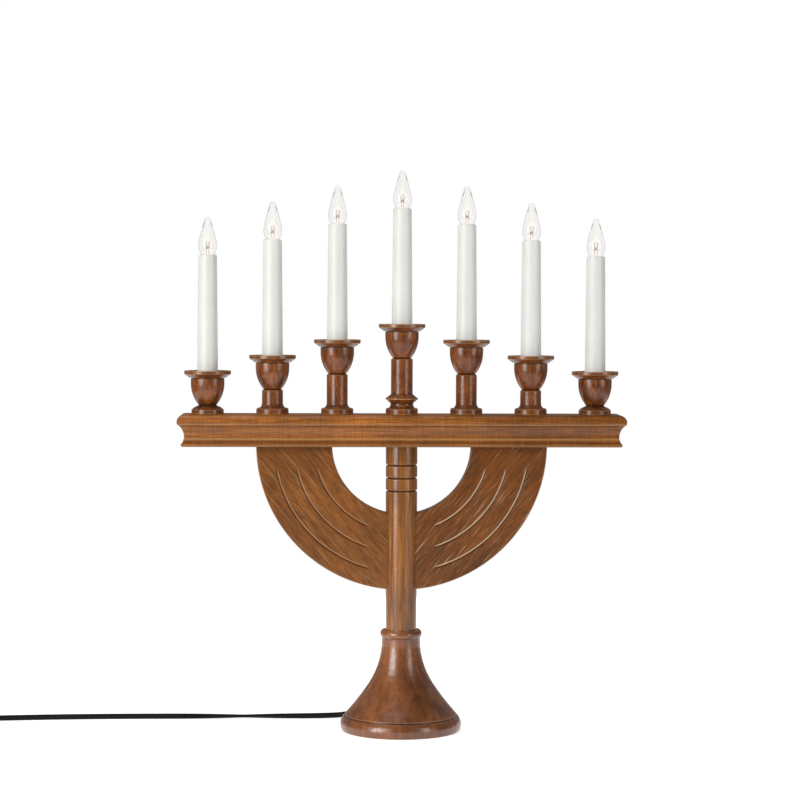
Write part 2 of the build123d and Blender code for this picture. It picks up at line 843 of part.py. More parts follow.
def half_turn(start_x, radius, level, rise=0):
    """Draw half a turn from a point on the coil's own x axis and return the x where it ends."""
    way = 1 if start_x > 0 else -1
    end_x = start_x - way * radius * 2
    crest = way * sqrt(radius**2 + (rise / 2) ** 2)
    ThreePointArc(
        from_coil(start_x, 0, level),
        from_coil((start_x + end_x) / 2, crest, level + rise / 2),
        from_coil(end_x, 0, level + rise),
    )
    return end_x


tail_points = [
    from_coil(0, coil_radius, coil_high),
    from_coil(-tail_level, coil_radius, coil_high),
    from_coil(-tail_level - tail_slope, coil_radius, plug_axis_height),
    from_coil(-tail_length, coil_radius, plug_axis_height),
]
with BuildPart() as cord_coil:
    with BuildLine() as coil_path:
        Line(route_points[-1], coil_start)
        end_x = coil_radius
        for turn in range(coil_half_turns):
            end_x = half_turn(end_x, coil_radius - turn * half_step, coil_low)
        end_x = half_turn(end_x, coil_climb_radius, coil_low, coil_pitch)
        for turn in range(1, coil_half_turns):
            end_x = half_turn(end_x, coil_climb_radius + turn * half_step, coil_high)
        quarter = coil_radius * sqrt(1 / 2)
        bend_middle = from_coil(quarter, quarter, coil_high)
        ThreePointArc(from_coil(end_x, 0, coil_high), bend_middle, tail_points[0])
        FilletPolyline(*tail_points, radius=corner_radii(tail_points))
    with BuildSketch(Plane(origin=route_points[-1], z_dir=coil_way)):
        Circle(cord_radius)
    sweep()
write(cord_coil.part, "cord_coil")
coil_wire = coil_path.wire()
coil_length = coil_wire.length
sample_count = int(coil_length / sample_spacing)
samples = [tuple(coil_wire.position_at(step / sample_count)) for step in range(sample_count + 1)]
window = int(coil_climb_radius / sample_spacing)
least = min(
    dist(here, there)
    for index, here in enumerate(samples)
    for there in samples[index + window :]
)
coil_fill = cord_coil.part.volume / (cord_section * coil_length)
print("coil: length", round(coil_length, 1), "mm")
print("coil: least gap to itself", round(least - cord_diameter, 2), "mm")
print("coil: volume over section times length", round(coil_fill, 4))

# Tie: a flat band round one side of the coil
tie_clearance = coil_low - cord_radius - tie_thickness
tie_width_inside = coil_radius - coil_climb_radius + cord_diameter + tie_clearance * 2
tie_height_inside = coil_pitch + cord_diameter + tie_clearance * 2
tie_corner = cord_radius + tie_clearance
tie_place = from_coil(-(coil_radius + coil_climb_radius) / 2, 0, (coil_low + coil_high) / 2)
with BuildPart() as coil_tie:
    with BuildSketch(Plane(origin=tie_place, x_dir=coil_side, z_dir=coil_way)):
        RectangleRounded(
            tie_width_inside + tie_thickness * 2,
            tie_height_inside + tie_thickness * 2,
            tie_corner + tie_thickness,
        )
        RectangleRounded(tie_width_inside, tie_height_inside, tie_corner, mode=Mode.SUBTRACT)
    extrude(amount=tie_width / 2, both=True)
write(coil_tie.part, "coil_tie")

# Plug: a ribbed neck on the lead, a flat moulded body with pin sleeves, and two round pins
plug_way = coil_side * -1
plug_base = Plane(origin=tail_points[-1], x_dir=coil_way, z_dir=plug_way)
body_plane = plug_base.offset(plug_neck_length)
face_plane = body_plane.offset(plug_body_length)
sleeve_end = face_plane.offset(pin_sleeve_length)
pin_places = [(-pin_spacing / 2, 0), (pin_spacing / 2, 0)]
ring_pitch = plug_neck_length / (plug_neck_ring_count + 1)
with BuildPart() as plug_body:
    with BuildSketch(plug_base):
        Circle(plug_neck_tip_radius)
    with BuildSketch(body_plane):
        Circle(plug_neck_radius)
    loft()
    for ring in range(1, plug_neck_ring_count + 1):
        with BuildSketch(plug_base.offset(ring * ring_pitch)):
            Circle(plug_neck_radius)
            Circle(plug_neck_tip_radius - plug_neck_ring_depth, mode=Mode.SUBTRACT)
        extrude(amount=ring_pitch * plug_neck_ring_share, mode=Mode.SUBTRACT)
    with BuildSketch(body_plane):
        SlotOverall(plug_tail_width, plug_tail_thickness)
    with BuildSketch(face_plane.offset(-plug_face_length)):
        SlotOverall(plug_width, plug_thickness)
    loft()
    with BuildSketch(face_plane.offset(-plug_face_length)):
        SlotOverall(plug_width, plug_thickness)
    extrude(amount=plug_face_length)
    plug_axis = Axis(tail_points[-1], plug_way)
    fillet(plug_body.faces().sort_by(plug_axis)[-1].edges(), radius=plug_face_round)
    with BuildSketch(face_plane):
        with Locations(pin_places):
            Circle(pin_sleeve_radius)
    extrude(amount=pin_sleeve_length)
    with BuildSketch(sleeve_end):
        with Locations(pin_places):
            Circle(pin_core_radius)
    extrude(amount=-pin_sleeve_length - pin_root, mode=Mode.SUBTRACT)
write(plug_body.part, "plug_body")

with BuildPart() as plug_pins:
    with BuildSketch(sleeve_end):
        with Locations(pin_places):
            Circle(pin_core_radius)
    extrude(amount=-pin_sleeve_length - pin_root)
    with BuildSketch(sleeve_end):
        with Locations(pin_places):
            Circle(pin_radius)
    extrude(amount=pin_length - pin_sleeve_length)
    tips = plug_pins.faces().sort_by(plug_axis)[-2:]
    fillet(tips.edges(), radius=pin_tip_round)
write(plug_pins.part, "plug_pins")
print("lead and coil together", round(run_length + coil_length), "mm")
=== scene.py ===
import logging
import math
from dataclasses import dataclass, field
from enum import Enum
from typing import Any, Callable, Iterable, Sequence

import bmesh
import bpy
from mathutils import Matrix, Vector


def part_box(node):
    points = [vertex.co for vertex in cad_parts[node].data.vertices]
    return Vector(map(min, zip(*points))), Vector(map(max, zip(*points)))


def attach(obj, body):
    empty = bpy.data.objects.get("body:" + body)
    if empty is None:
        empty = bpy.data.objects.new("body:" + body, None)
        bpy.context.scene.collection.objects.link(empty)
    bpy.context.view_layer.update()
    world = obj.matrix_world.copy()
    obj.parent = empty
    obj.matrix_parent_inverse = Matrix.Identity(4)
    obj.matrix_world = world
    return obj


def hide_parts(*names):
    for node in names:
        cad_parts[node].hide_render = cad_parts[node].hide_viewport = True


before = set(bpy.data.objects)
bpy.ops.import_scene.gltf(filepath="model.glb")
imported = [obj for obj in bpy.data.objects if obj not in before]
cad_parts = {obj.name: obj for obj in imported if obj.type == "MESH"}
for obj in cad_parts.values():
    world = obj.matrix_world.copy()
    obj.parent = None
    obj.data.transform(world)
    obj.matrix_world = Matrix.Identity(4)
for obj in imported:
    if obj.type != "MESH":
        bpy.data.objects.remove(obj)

log = logging.getLogger("candelabrum")
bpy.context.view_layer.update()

MM = 0.001
# Lamps count from the left, and a cup's rank is how many places it stands from the middle.
LAMPS = range(1, 8)
MIDDLE = 4
OUTERMOST = 3
HARD_EDGE = math.radians(40)

Point = tuple[float, float]
Colour = tuple[float, float, float, float]
Tree = bpy.types.NodeTree
Node = bpy.types.Node
Socket = bpy.types.NodeSocket
Material = bpy.types.Material
Piece = bpy.types.Object


def linear(hex_colour: str) -> Colour:
    """Turn an sRGB hex colour into a linear one.

    Args:
        hex_colour: six hex digits, with or without a leading hash.

    Returns:
        The linear red, green and blue, and an alpha of 1.
    """
    digits = hex_colour.lstrip("#")
    shares = [int(digits[i : i + 2], 16) / 255 for i in (0, 2, 4)]
    values = [s / 12.92 if s <= 0.04045 else ((s + 0.055) / 1.055) ** 2.4 for s in shares]
    return (values[0], values[1], values[2], 1.0)


def feed(node: Node, inputs: dict[str | int, Any]) -> None:
    """Set or link a node's inputs.

    Args:
        node: the node, in its tree.
        inputs: a value, or an output socket to link, for each input by name or index.
    """
    for key, value in inputs.items():
        if isinstance(value, Socket):
            node.id_data.links.new(value, node.inputs[key])
        else:
            node.inputs[key].default_value = value


def add_node(tree: Tree, kind: str, inputs: dict[str | int, Any] | None = None, **settings: Any) -> Node:
    """Add a node to a tree, with its settings, values and links.

    Args:
        tree: the material's or modifier's node tree.
        kind: the node's type name.
        inputs: a value, or an output socket to link, for each input by name or index.
        settings: attributes of the node itself.

    Returns:
        The new node.
    """
    node = tree.nodes.new(kind)
    for name, value in settings.items():
        setattr(node, name, value)
    feed(node, inputs or {})
    return node


def new_material(name: str) -> tuple[Material, Tree, Node]:
    """Start a node material.

    Args:
        name: the material's name.

    Returns:
        The material, its tree and its surface shader.
    """
    material = bpy.data.materials.new(name)
    material.use_nodes = True
    tree = material.node_tree
    return material, tree, tree.nodes["Principled BSDF"]


class GrainWay(Enum):
    """How the grain lies in a piece of wood, as the turn about Y that lays it along X."""

    ALONG = 0.0
    UPRIGHT = math.radians(90)
    FALLING = math.radians(-50)
    RISING = math.radians(50)


@dataclass(frozen=True)
class StainedWood:
    """Close-grained hardwood, stained mid-brown and lacquered.

    The stain sits in bands along the grain, the fibres show as fine streaks and the open pores as short
    dark ticks. The turned quirks are painted dark as painted shade, and sharp edges are painted pale, partly
    as rubbed wear and partly as a painted highlight. The lacquer gives a soft gloss that breaks up a little
    over the fibres.
    """

    name: str
    way: GrainWay
    dark: str
    middle: str
    light: str
    band_width: float = 9.0
    band_length: float = 160.0
    fibre_width: float = 0.9
    fibre_length: float = 26.0
    pore_width: float = 0.45
    pore_length: float = 5.0
    mottle_size: float = 34.0
    mottle_share: float = 0.3
    fibre_share: float = 0.34
    scratch_share: float = 0.0
    scratch_length: float = 30.0
    scratch_width: float = 0.6
    fleck_share: float = 0.0
    fleck_length: float = 1.3
    fleck_width: float = 14.0
    pore_tone: float = 0.62
    # The next colours paint shade into the quirks, and paint sharp edges pale as wear and as a painted
    # highlight.
    quirk_shade: str = "#1f0e05"
    quirk_shade_share: float = 0.9
    rubbed_and_glint: str = "#c8a06a"
    rub_and_glint_share: float = 0.85
    roughness: float = 0.3
    gloss_share: float = 0.4
    coat: float = 0.1
    coat_roughness: float = 0.15
    relief: float = 0.3
    dull_top: float = 0.0
    dull_from: float = 0.75
    dull_full: float = 0.95
    # The next three let the wood be painted darker along X, as painted shade on one side.
    right_shade_from: float = 0.0
    right_shade_to: float = 0.0
    right_shade_tone: float = 1.0

    def material(self) -> Material:
        """Build the wood's nodes; every size is in millimetres.

        Returns:
            The finished material.
        """
        # The eye sees warm bands, fine streaks, painted shade in quirks, pale edges of wear and painted
        # highlight, under a soft broken gloss.
        # Fibres and pores are drawn coarser than the wood's own, which are too fine to show.
        material, tree, shader = new_material(self.name)
        place = add_node(tree, "ShaderNodeTexCoord").outputs["Object"]
        grain = add_node(tree, "ShaderNodeMapping", {"Vector": place, "Rotation": (0, self.way.value, 0)})

        def streaks(length: float, width: float, detail: float, distortion: float = 0.0) -> Socket:
            """Noise drawn out along the grain.

            Args:
                length: the streaks' length along the grain.
                width: their width across it.
                detail: the noise's octaves.
                distortion: how far the streaks wander.

            Returns:
                The noise's value.
            """
            scale = (1 / (length * MM), 1 / (width * MM), 1 / (width * MM))
            drawn = add_node(tree, "ShaderNodeMapping", {"Vector": grain.outputs[0], "Scale": scale})
            noise = add_node(tree, "ShaderNodeTexNoise", {
                "Vector": drawn.outputs[0], "Scale": 1.0, "Detail": detail, "Distortion": distortion})
            return noise.outputs["Fac"]

        bands = streaks(self.band_length, self.band_width, detail=4.0, distortion=0.8)
        ramp = add_node(tree, "ShaderNodeValToRGB", {"Fac": bands})
        stops = ramp.color_ramp.elements
        stops[0].position, stops[0].color = 0.30, linear(self.dark)
        stops[1].position, stops[1].color = 0.72, linear(self.light)
        stops.new(0.5).color = linear(self.middle)

        fibres = streaks(self.fibre_length, self.fibre_width, detail=2.0)
        pores = streaks(self.pore_length, self.pore_width, detail=1.0)
        mottle = streaks(self.mottle_size * 1.6, self.mottle_size, detail=3.0, distortion=0.5)
        tones = [
            (fibres, (0.3, 0.7), (1.0 - self.fibre_share, 1.0 + self.fibre_share), "LINEAR"),
            (pores, (0.62, 0.74), (1.0, self.pore_tone), "LINEAR"),
            (mottle, (0.32, 0.66), (1.0 - self.mottle_share, 1.0 + self.mottle_share * 0.4), "LINEAR"),
        ]
        if self.fleck_share:
            flecks = streaks(self.fleck_length, self.fleck_width, detail=2.0)
            tones.append((flecks, (0.35, 0.65), (1.0 - self.fleck_share, 1.0 + self.fleck_share), "LINEAR"))
        # Painted shade: the colour darkens along X, towards the right.
        if self.right_shade_tone != 1.0:
            along = add_node(tree, "ShaderNodeSeparateXYZ", {0: place}).outputs["X"]
            reach = (self.right_shade_from * MM, self.right_shade_to * MM)
            tones.append((along, reach, (1.0, self.right_shade_tone), "SMOOTHSTEP"))
        colour = ramp.outputs["Color"]
        for value, (near, far), (first, last), blend in tones:
            tone = add_node(tree, "ShaderNodeMapRange", {
                "Value": value, "From Min": near, "From Max": far, "To Min": first, "To Max": last},
                interpolation_type=blend)
            colour = add_node(tree, "ShaderNodeMix", {0: 1.0, 6: colour, 7: tone.outputs[0]},
                              data_type="RGBA", blend_type="MULTIPLY").outputs[2]

        # The point attribute read here paints shade into quirks where it is below 0, and wear and a painted
        # highlight onto edges where it is above 0.
        wear_and_painted_light = add_node(tree, "ShaderNodeAttribute", attribute_name="wear_and_painted_light").outputs["Fac"]
        layers = [(wear_and_painted_light, (0.0, -1.0), self.quirk_shade_share, self.quirk_shade),
                  (wear_and_painted_light, (0.15, 1.0), self.rub_and_glint_share, self.rubbed_and_glint)]
        if self.scratch_share:
            scratches = streaks(self.scratch_length, self.scratch_width, detail=1.0, distortion=0.4)
            layers.insert(0, (scratches, (0.64, 0.74), self.scratch_share, self.rubbed_and_glint))
        for value, (near, far), most, towards in layers:
            share = add_node(tree, "ShaderNodeMapRange", {
                "Value": value, "From Min": near, "From Max": far, "To Min": 0.0, "To Max": most})
            colour = add_node(tree, "ShaderNodeMix", {0: share.outputs[0], 6: colour, 7: linear(towards)},
                              data_type="RGBA").outputs[2]

        gloss = add_node(tree, "ShaderNodeMapRange", {
            "Value": fibres, "From Min": 0.3, "From Max": 0.7,
            "To Min": self.roughness + 0.07, "To Max": self.roughness - 0.05})
        height = add_node(tree, "ShaderNodeMath", {0: fibres, 1: pores}, operation="SUBTRACT")
        bump = add_node(tree, "ShaderNodeBump", {
            "Height": height.outputs[0], "Strength": 0.12, "Distance": self.relief * MM})
        feed(shader, {"Base Color": colour, "Roughness": gloss.outputs[0], "Normal": bump.outputs[0],
                      "Specular IOR Level": self.gloss_share, "Coat Weight": self.coat,
                      "Coat Roughness": self.coat_roughness})
        if self.dull_top:
            self.dulled(tree, shader)
        return material

    def dulled(self, tree: Tree, shader: Node) -> None:
        """Take the gloss off the faces that look up, where wax and dust settle.

        Args:
            tree: the material's tree.
            shader: its shader.
        """
        normal = add_node(tree, "ShaderNodeNewGeometry").outputs["Normal"]
        facing = add_node(tree, "ShaderNodeSeparateXYZ", {0: normal})
        for socket, full in (("Specular IOR Level", self.gloss_share), ("Coat Weight", self.coat)):
            kept = add_node(tree, "ShaderNodeMapRange", {
                "Value": facing.outputs["Z"], "From Min": self.dull_from, "From Max": self.dull_full,
                "To Min": full, "To Max": full * (1 - self.dull_top)})
            feed(shader, {socket: kept.outputs[0]})


@dataclass(frozen=True)
class MouldedPlastic:
    """Injection-moulded plastic with a faint flow mottle and a fine skin."""

    name: str
    colour: str
    shade: str
    roughness: float
    mottle_size: float = 12.0
    skin_size: float = 0.5
    skin_height: float = 0.05
    coat: float = 0.0
    glow_through: float = 0.0
    gloss_share: float = 0.5
    painted_glow: float = 0.0
    coat_roughness: float = 0.12
    scatter: tuple[float, float, float] = (4.0, 3.5, 3.0)

    def material(self) -> Material:
        """Build the plastic's nodes; every size is in millimetres.

        Returns:
            The finished material.
        """
        # The eye sees one even colour and a soft sheen that wavers a little.
        # The skin is drawn coarser than a mould's own, which is too fine to show.
        material, tree, shader = new_material(self.name)
        place = add_node(tree, "ShaderNodeTexCoord").outputs["Object"]
        flow = add_node(tree, "ShaderNodeTexNoise", {
            "Vector": place, "Scale": 1 / (self.mottle_size * MM), "Detail": 3.0})
        ramp = add_node(tree, "ShaderNodeValToRGB", {"Fac": flow.outputs["Fac"]})
        first, last = ramp.color_ramp.elements
        first.position, first.color = 0.35, linear(self.shade)
        last.position, last.color = 0.65, linear(self.colour)
        skin = add_node(tree, "ShaderNodeTexNoise", {
            "Vector": place, "Scale": 1 / (self.skin_size * MM), "Detail": 2.0})
        gloss = add_node(tree, "ShaderNodeMapRange", {
            "Value": flow.outputs["Fac"], "From Min": 0.3, "From Max": 0.7,
            "To Min": self.roughness - 0.04, "To Max": self.roughness + 0.04})
        bump = add_node(tree, "ShaderNodeBump", {
            "Height": skin.outputs["Fac"], "Strength": 0.2, "Distance": self.skin_height * MM})
        # The plastic can be given an even glow in its own colour, painted light for parts that get too little
        # light.
        feed(shader, {"Base Color": ramp.outputs["Color"], "Roughness": gloss.outputs[0],
                      "Normal": bump.outputs[0], "Specular IOR Level": self.gloss_share,
                      "Coat Weight": self.coat, "Coat Roughness": self.coat_roughness,
                      "Subsurface Weight": self.glow_through,
                      "Subsurface Radius": tuple(depth * MM for depth in self.scatter),
                      "Emission Color": ramp.outputs["Color"], "Emission Strength": self.painted_glow})
        return material


@dataclass(frozen=True)
class PressedBrass:
    """Thin brass pressed and rolled, with drawing marks round it and a little tarnish."""

    name: str
    bright: str = "#d8b266"
    tarnished: str = "#8d6a2f"
    roughness: float = 0.26
    mark_length: float = 6.667
    mark_height: float = 0.4
    spot_size: float = 3.846

    def material(self) -> Material:
        """Build the brass's nodes.

        Returns:
            The finished material.
        """
        # The eye sees a bright warm metal, its highlight drawn out by the marks and spotted by tarnish.
        # The marks are drawn coarser than rolling leaves them, which is too fine to show.
        material, tree, shader = new_material(self.name)
        place = add_node(tree, "ShaderNodeTexCoord").outputs["Object"]
        round_it = 1 / (self.mark_length * MM)
        marks = add_node(tree, "ShaderNodeMapping", {
            "Vector": place, "Scale": (round_it, round_it, 1 / (self.mark_height * MM))})
        drawn = add_node(tree, "ShaderNodeTexNoise", {
            "Vector": marks.outputs[0], "Scale": 1.0, "Detail": 2.0})
        tarnish = add_node(tree, "ShaderNodeTexNoise", {
            "Vector": place, "Scale": 1 / (self.spot_size * MM), "Detail": 4.0})
        ramp = add_node(tree, "ShaderNodeValToRGB", {"Fac": tarnish.outputs["Fac"]})
        first, last = ramp.color_ramp.elements
        first.position, first.color = 0.36, linear(self.tarnished)
        last.position, last.color = 0.58, linear(self.bright)
        gloss = add_node(tree, "ShaderNodeMapRange", {
            "Value": drawn.outputs["Fac"], "To Min": self.roughness - 0.08, "To Max": self.roughness + 0.12})
        feed(shader, {"Base Color": ramp.outputs["Color"], "Roughness": gloss.outputs[0], "Metallic": 1.0})
        return material


@dataclass(frozen=True)
class BlownGlass:
    """Clear soda glass, blown thin, with slight draw lines in its wall."""

    name: str
    tint: str = "#fbfaf8"
    roughness: float = 0.015
    index: float = 1.5
    line_width: float = 2.381
    line_length: float = 16.667
    line_height: float = 0.1

    def material(self) -> Material:
        """Build the glass's nodes.

        Returns:
            The finished material.
        """
        # The eye sees through it, with bright thin edges and a slight waver.
        material, tree, shader = new_material(self.name)
        place = add_node(tree, "ShaderNodeTexCoord").outputs["Object"]
        across = 1 / (self.line_width * MM)
        drawn = add_node(tree, "ShaderNodeMapping", {
            "Vector": place, "Scale": (across, across, 1 / (self.line_length * MM))})
        lines = add_node(tree, "ShaderNodeTexNoise", {
            "Vector": drawn.outputs[0], "Scale": 1.0, "Detail": 1.0})
        bump = add_node(tree, "ShaderNodeBump", {
            "Height": lines.outputs["Fac"], "Strength": 0.08, "Distance": self.line_height * MM})
        feed(shader, {"Base Color": linear(self.tint), "Roughness": self.roughness, "IOR": self.index,
                      "Transmission Weight": 1.0, "Normal": bump.outputs[0]})
        return material


@dataclass(frozen=True)
class GlowingWire:
    """Tungsten wire that burns dimly, so that its warm core shows through the glass."""

    name: str
    colour: str = "#ffd9a0"
    cooler: str = "#ffb25a"
    unlit: str = "#d8b890"
    strength: float = 2.2
    turn_pitch: float = 1.111

    def material(self) -> Material:
        """Build the glow's nodes.

        Returns:
            The finished material.
        """
        # The eye sees a dim warm thread; its turns are drawn coarser than a real coil's, too fine to show.
        material, tree, shader = new_material(self.name)
        place = add_node(tree, "ShaderNodeTexCoord").outputs["Object"]
        turns = add_node(tree, "ShaderNodeTexNoise", {
            "Vector": place, "Scale": 1 / (self.turn_pitch * MM), "Detail": 1.0})
        ramp = add_node(tree, "ShaderNodeValToRGB", {"Fac": turns.outputs["Fac"]})
        first, last = ramp.color_ramp.elements
        first.color, last.color = linear(self.cooler), linear(self.colour)
        feed(shader, {"Base Color": linear(self.unlit), "Emission Color": ramp.outputs["Color"],
                      "Emission Strength": self.strength})
        return material


@dataclass(frozen=True)
class PressedFelt:
    """Wool felt, pressed flat, with a short nap that takes the light unevenly."""

    name: str
    dark: str = "#141a14"
    light: str = "#2b352b"
    nap_size: float = 0.7
    nap_height: float = 0.3
    roughness: float = 0.95
    sheen: float = 0.3

    def material(self) -> Material:
        """Build the felt's nodes.

        Returns:
            The finished material.
        """
        # The eye sees a dark matt nap; it is drawn coarser than wool, whose fibres are too fine to show.
        material, tree, shader = new_material(self.name)
        place = add_node(tree, "ShaderNodeTexCoord").outputs["Object"]
        nap = add_node(tree, "ShaderNodeTexNoise", {
            "Vector": place, "Scale": 1 / (self.nap_size * MM), "Detail": 4.0})
        ramp = add_node(tree, "ShaderNodeValToRGB", {"Fac": nap.outputs["Fac"]})
        first, last = ramp.color_ramp.elements
        first.color, last.color = linear(self.dark), linear(self.light)
        bump = add_node(tree, "ShaderNodeBump", {
            "Height": nap.outputs["Fac"], "Strength": 0.5, "Distance": self.nap_height * MM})
        feed(shader, {"Base Color": ramp.outputs["Color"], "Normal": bump.outputs[0],
                      "Roughness": self.roughness, "Sheen Weight": self.sheen})
        return material


@dataclass
class Outline:
    """A half section drawn point by point, in millimetres, with the solid on its left."""

    points: list[Point]
    arc_step: float = math.radians(5)
    hard_turn: float = math.radians(16)
    side_share: float = 0.4

    def line(self, *ends: Point) -> "Outline":
        """Go straight through the given points."""
        self.points.extend(ends)
        return self

    def bend(self, end: Point, tangent: Point) -> Point:
        """Go round an arc that leaves along a direction.

        Args:
            end: where the arc ends.
            tangent: the direction at its start.

        Returns:
            The direction at its end.
        """
        arc, leaving = self.arc_points(self.points[-1], end, tangent)
        self.points.extend(arc)
        return leaving

    def bend_into(self, end: Point, arrival: Point) -> "Outline":
        """Go round an arc that arrives along a direction.

        Args:
            end: where the arc ends.
            arrival: the direction at its end.

        Returns:
            The outline.
        """
        arc, _ = self.arc_points(end, self.points[-1], (-arrival[0], -arrival[1]))
        self.points.extend([*reversed(arc[:-1]), end])
        return self

    def through(self, middle: Point, end: Point) -> "Outline":
        """Go round the arc through a middle point.

        Args:
            middle: a point on the arc.
            end: where the arc ends.

        Returns:
            The outline.
        """
        (ax, ay), (bx, by), (cx, cy) = self.points[-1], middle, end
        d = 2 * (ax * (by - cy) + bx * (cy - ay) + cx * (ay - by))
        a2, b2, c2 = ax * ax + ay * ay, bx * bx + by * by, cx * cx + cy * cy
        ox = (a2 * (by - cy) + b2 * (cy - ay) + c2 * (ay - by)) / d
        oy = (a2 * (cx - bx) + b2 * (ax - cx) + c2 * (bx - ax)) / d
        way = 1 if (bx - ax) * (cy - by) - (by - ay) * (cx - bx) > 0 else -1
        self.bend(end, (-(ay - oy) * way, (ax - ox) * way))
        return self

    def arc_points(self, start: Point, end: Point, tangent: Point) -> tuple[list[Point], Point]:
        """Points of the arc from one point to another.

        Args:
            start: where the arc starts.
            end: where it ends.
            tangent: the direction at its start.

        Returns:
            The points after the start, and the direction at the end.
        """
        size = math.hypot(*tangent)
        tx, ty = tangent[0] / size, tangent[1] / size
        nx, ny = -ty, tx
        dx, dy = end[0] - start[0], end[1] - start[1]
        along, across = dx * tx + dy * ty, dx * nx + dy * ny
        turn = 2 * math.atan2(across, along)
        if abs(turn) < 1e-6:
            return [end], (tx, ty)
        radius = (dx * dx + dy * dy) / (2 * across)
        steps = max(3, math.ceil(abs(turn) / self.arc_step))
        arc = []
        for step in range(1, steps + 1):
            angle = turn * step / steps
            forward, sideways = radius * math.sin(angle), radius * (1 - math.cos(angle))
            arc.append((start[0] + tx * forward + nx * sideways, start[1] + ty * forward + ny * sideways))
        c, s = math.cos(turn), math.sin(turn)
        return arc, (tx * c - ty * s, tx * s + ty * c)

    def finished(self, edge_round: float, step: float, closed: bool = False) -> list[Point]:
        """Round the hard corners and space the points evenly.

        Args:
            edge_round: the radius that each hard corner gets.
            step: the longest distance between points.
            closed: whether the outline runs back to its start.

        Returns:
            The points of the finished outline.
        """
        return self.spaced(self.softened(edge_round, closed), step, closed)

    def softened(self, edge_round: float, closed: bool) -> list[Point]:
        """Replace each hard corner by a small round.

        Args:
            edge_round: the round's radius.
            closed: whether the outline runs back to its start.

        Returns:
            The points with their corners rounded.
        """
        count = len(self.points)
        soft: list[Point] = []
        for i, (x, y) in enumerate(self.points):
            if not closed and i in (0, count - 1):
                soft.append((x, y))
                continue
            before, after = Vector(self.points[i - 1]), Vector(self.points[(i + 1) % count])
            here = Vector((x, y))
            back, on = before - here, after - here
            turn = math.pi - back.angle(on)
            if turn < self.hard_turn:
                soft.append((x, y))
                continue
            reach = min(edge_round * math.tan(turn / 2), self.side_share * back.length,
                        self.side_share * on.length)
            first, last = here + back.normalized() * reach, here + on.normalized() * reach
            for share in (0.0, 0.25, 0.5, 0.75, 1.0):
                bent = first * (1 - share) ** 2 + here * (2 * share * (1 - share)) + last * share**2
                soft.append((bent.x, bent.y))
        return soft

    @staticmethod
    def spaced(points: Sequence[Point], step: float, closed: bool) -> list[Point]:
        """Add points on long stretches.

        Args:
            points: the outline's points.
            step: the longest distance between points.
            closed: whether the outline runs back to its start.

        Returns:
            The points, none further apart than the step.
        """
        ends = [*points[1:], points[0]] if closed else points[1:]
        spread: list[Point] = [] if closed else [points[0]]
        for (ax, ay), (bx, by) in zip(points, ends):
            pieces = max(1, math.ceil(math.hypot(bx - ax, by - ay) / step))
            spread.extend((ax + (bx - ax) * k / pieces, ay + (by - ay) * k / pieces)
                          for k in range(1, pieces + 1))
        return spread


def edge_wear_and_shade(points: Sequence[Point], closed: bool, rub_and_glint: float = 0.5, reach: float = 0.7,
               sharp: float = math.radians(70), least_step: float = 0.02) -> list[float]:
    """Say how sharply an outline turns at each point: pale edges of wear and painted highlight are above 0,
    quirks of painted shade below.

    Args:
        points: the outline, with the solid on its left, in millimetres.
        closed: whether it runs back to its start.
        rub_and_glint: how far a sharp edge is painted pale, as wear and as highlight, up to 1.
        reach: how far an edge's wear spreads along the outline.
        sharp: the turn that counts as fully sharp.
        least_step: the shortest distance between points that is counted.

    Returns:
        A value from -1 to 1 for each point.
    """
    count = len(points)
    turns, steps = [0.0] * count, [0.0] * count
    for i in range(count):
        if not closed and i in (0, count - 1):
            continue
        back = Vector(points[i]) - Vector(points[i - 1])
        on = Vector(points[(i + 1) % count]) - Vector(points[i])
        if back.length and on.length:
            turns[i] = math.atan2(back.x * on.y - back.y * on.x, back.dot(on))
            steps[i] = (back.length + on.length) / 2
    values = []
    for i in range(count):
        total = 0.0
        for way in (1, -1):
            far, j = 0.0, i
            while far < 3 * reach:
                share = math.exp(-((far / reach) ** 2))
                total += turns[j] * share * (0.5 if j == i else 1.0)
                j += way
                if not closed and not 0 < j < count - 1:
                    break
                j %= count
                far += max(steps[j], least_step)
        share = max(-1.0, min(1.0, total / sharp))
        values.append(share * rub_and_glint if share > 0 else share)
    return values


def placed(name: str, data: bpy.types.ID) -> Piece:
    """Put a mesh, curve, lamp or camera into the scene, at the origin.

    Args:
        name: the object's name.
        data: what the object shows.

    Returns:
        The new object.
    """
    piece = bpy.data.objects.new(name, data)
    bpy.context.scene.collection.objects.link(piece)
    return piece


def smooth(mesh: bpy.types.Mesh) -> None:
    """Shade a mesh smooth, apart from its hard edges."""
    mesh.shade_smooth()
    mesh.set_sharp_from_angle(angle=HARD_EDGE)


def bridged(rings: Sequence[Sequence[int]]) -> list[list[int]]:
    """Span each ring of points and the next with faces, three-cornered where a ring is one point.

    Args:
        rings: rings of as many indices of points, in order.

    Returns:
        The faces.
    """
    faces = []
    for lower, upper in zip(rings, rings[1:]):
        for k in range(len(lower)):
            after = (k + 1) % len(lower)
            face = list(dict.fromkeys((lower[k], lower[after], upper[after], upper[k])))
            if len(face) > 2:
                faces.append(face)
    return faces


def finish_mesh(name: str, vertices: Sequence[Sequence[float]], faces: Sequence[Sequence[int]],
                wear_and_painted_light: Sequence[float]) -> Piece:
    """Make a smooth object of a mesh, with its faces outwards.

    Args:
        name: the object's name.
        vertices: the points, in metres.
        faces: the faces, as indices of points.
        wear_and_painted_light: how pale each point is painted, as wear and highlight, or how deep in painted
            shade.

    Returns:
        The new object, at the origin.
    """
    mesh = bpy.data.meshes.new(name)
    mesh.from_pydata(vertices, [], faces)
    mesh.attributes.new("wear_and_painted_light", "FLOAT", "POINT").data.foreach_set("value", list(wear_and_painted_light))
    work = bmesh.new()
    work.from_mesh(mesh)
    bmesh.ops.recalc_face_normals(work, faces=work.faces)
    work.to_mesh(mesh)
    work.free()
    smooth(mesh)
    return placed(name, mesh)


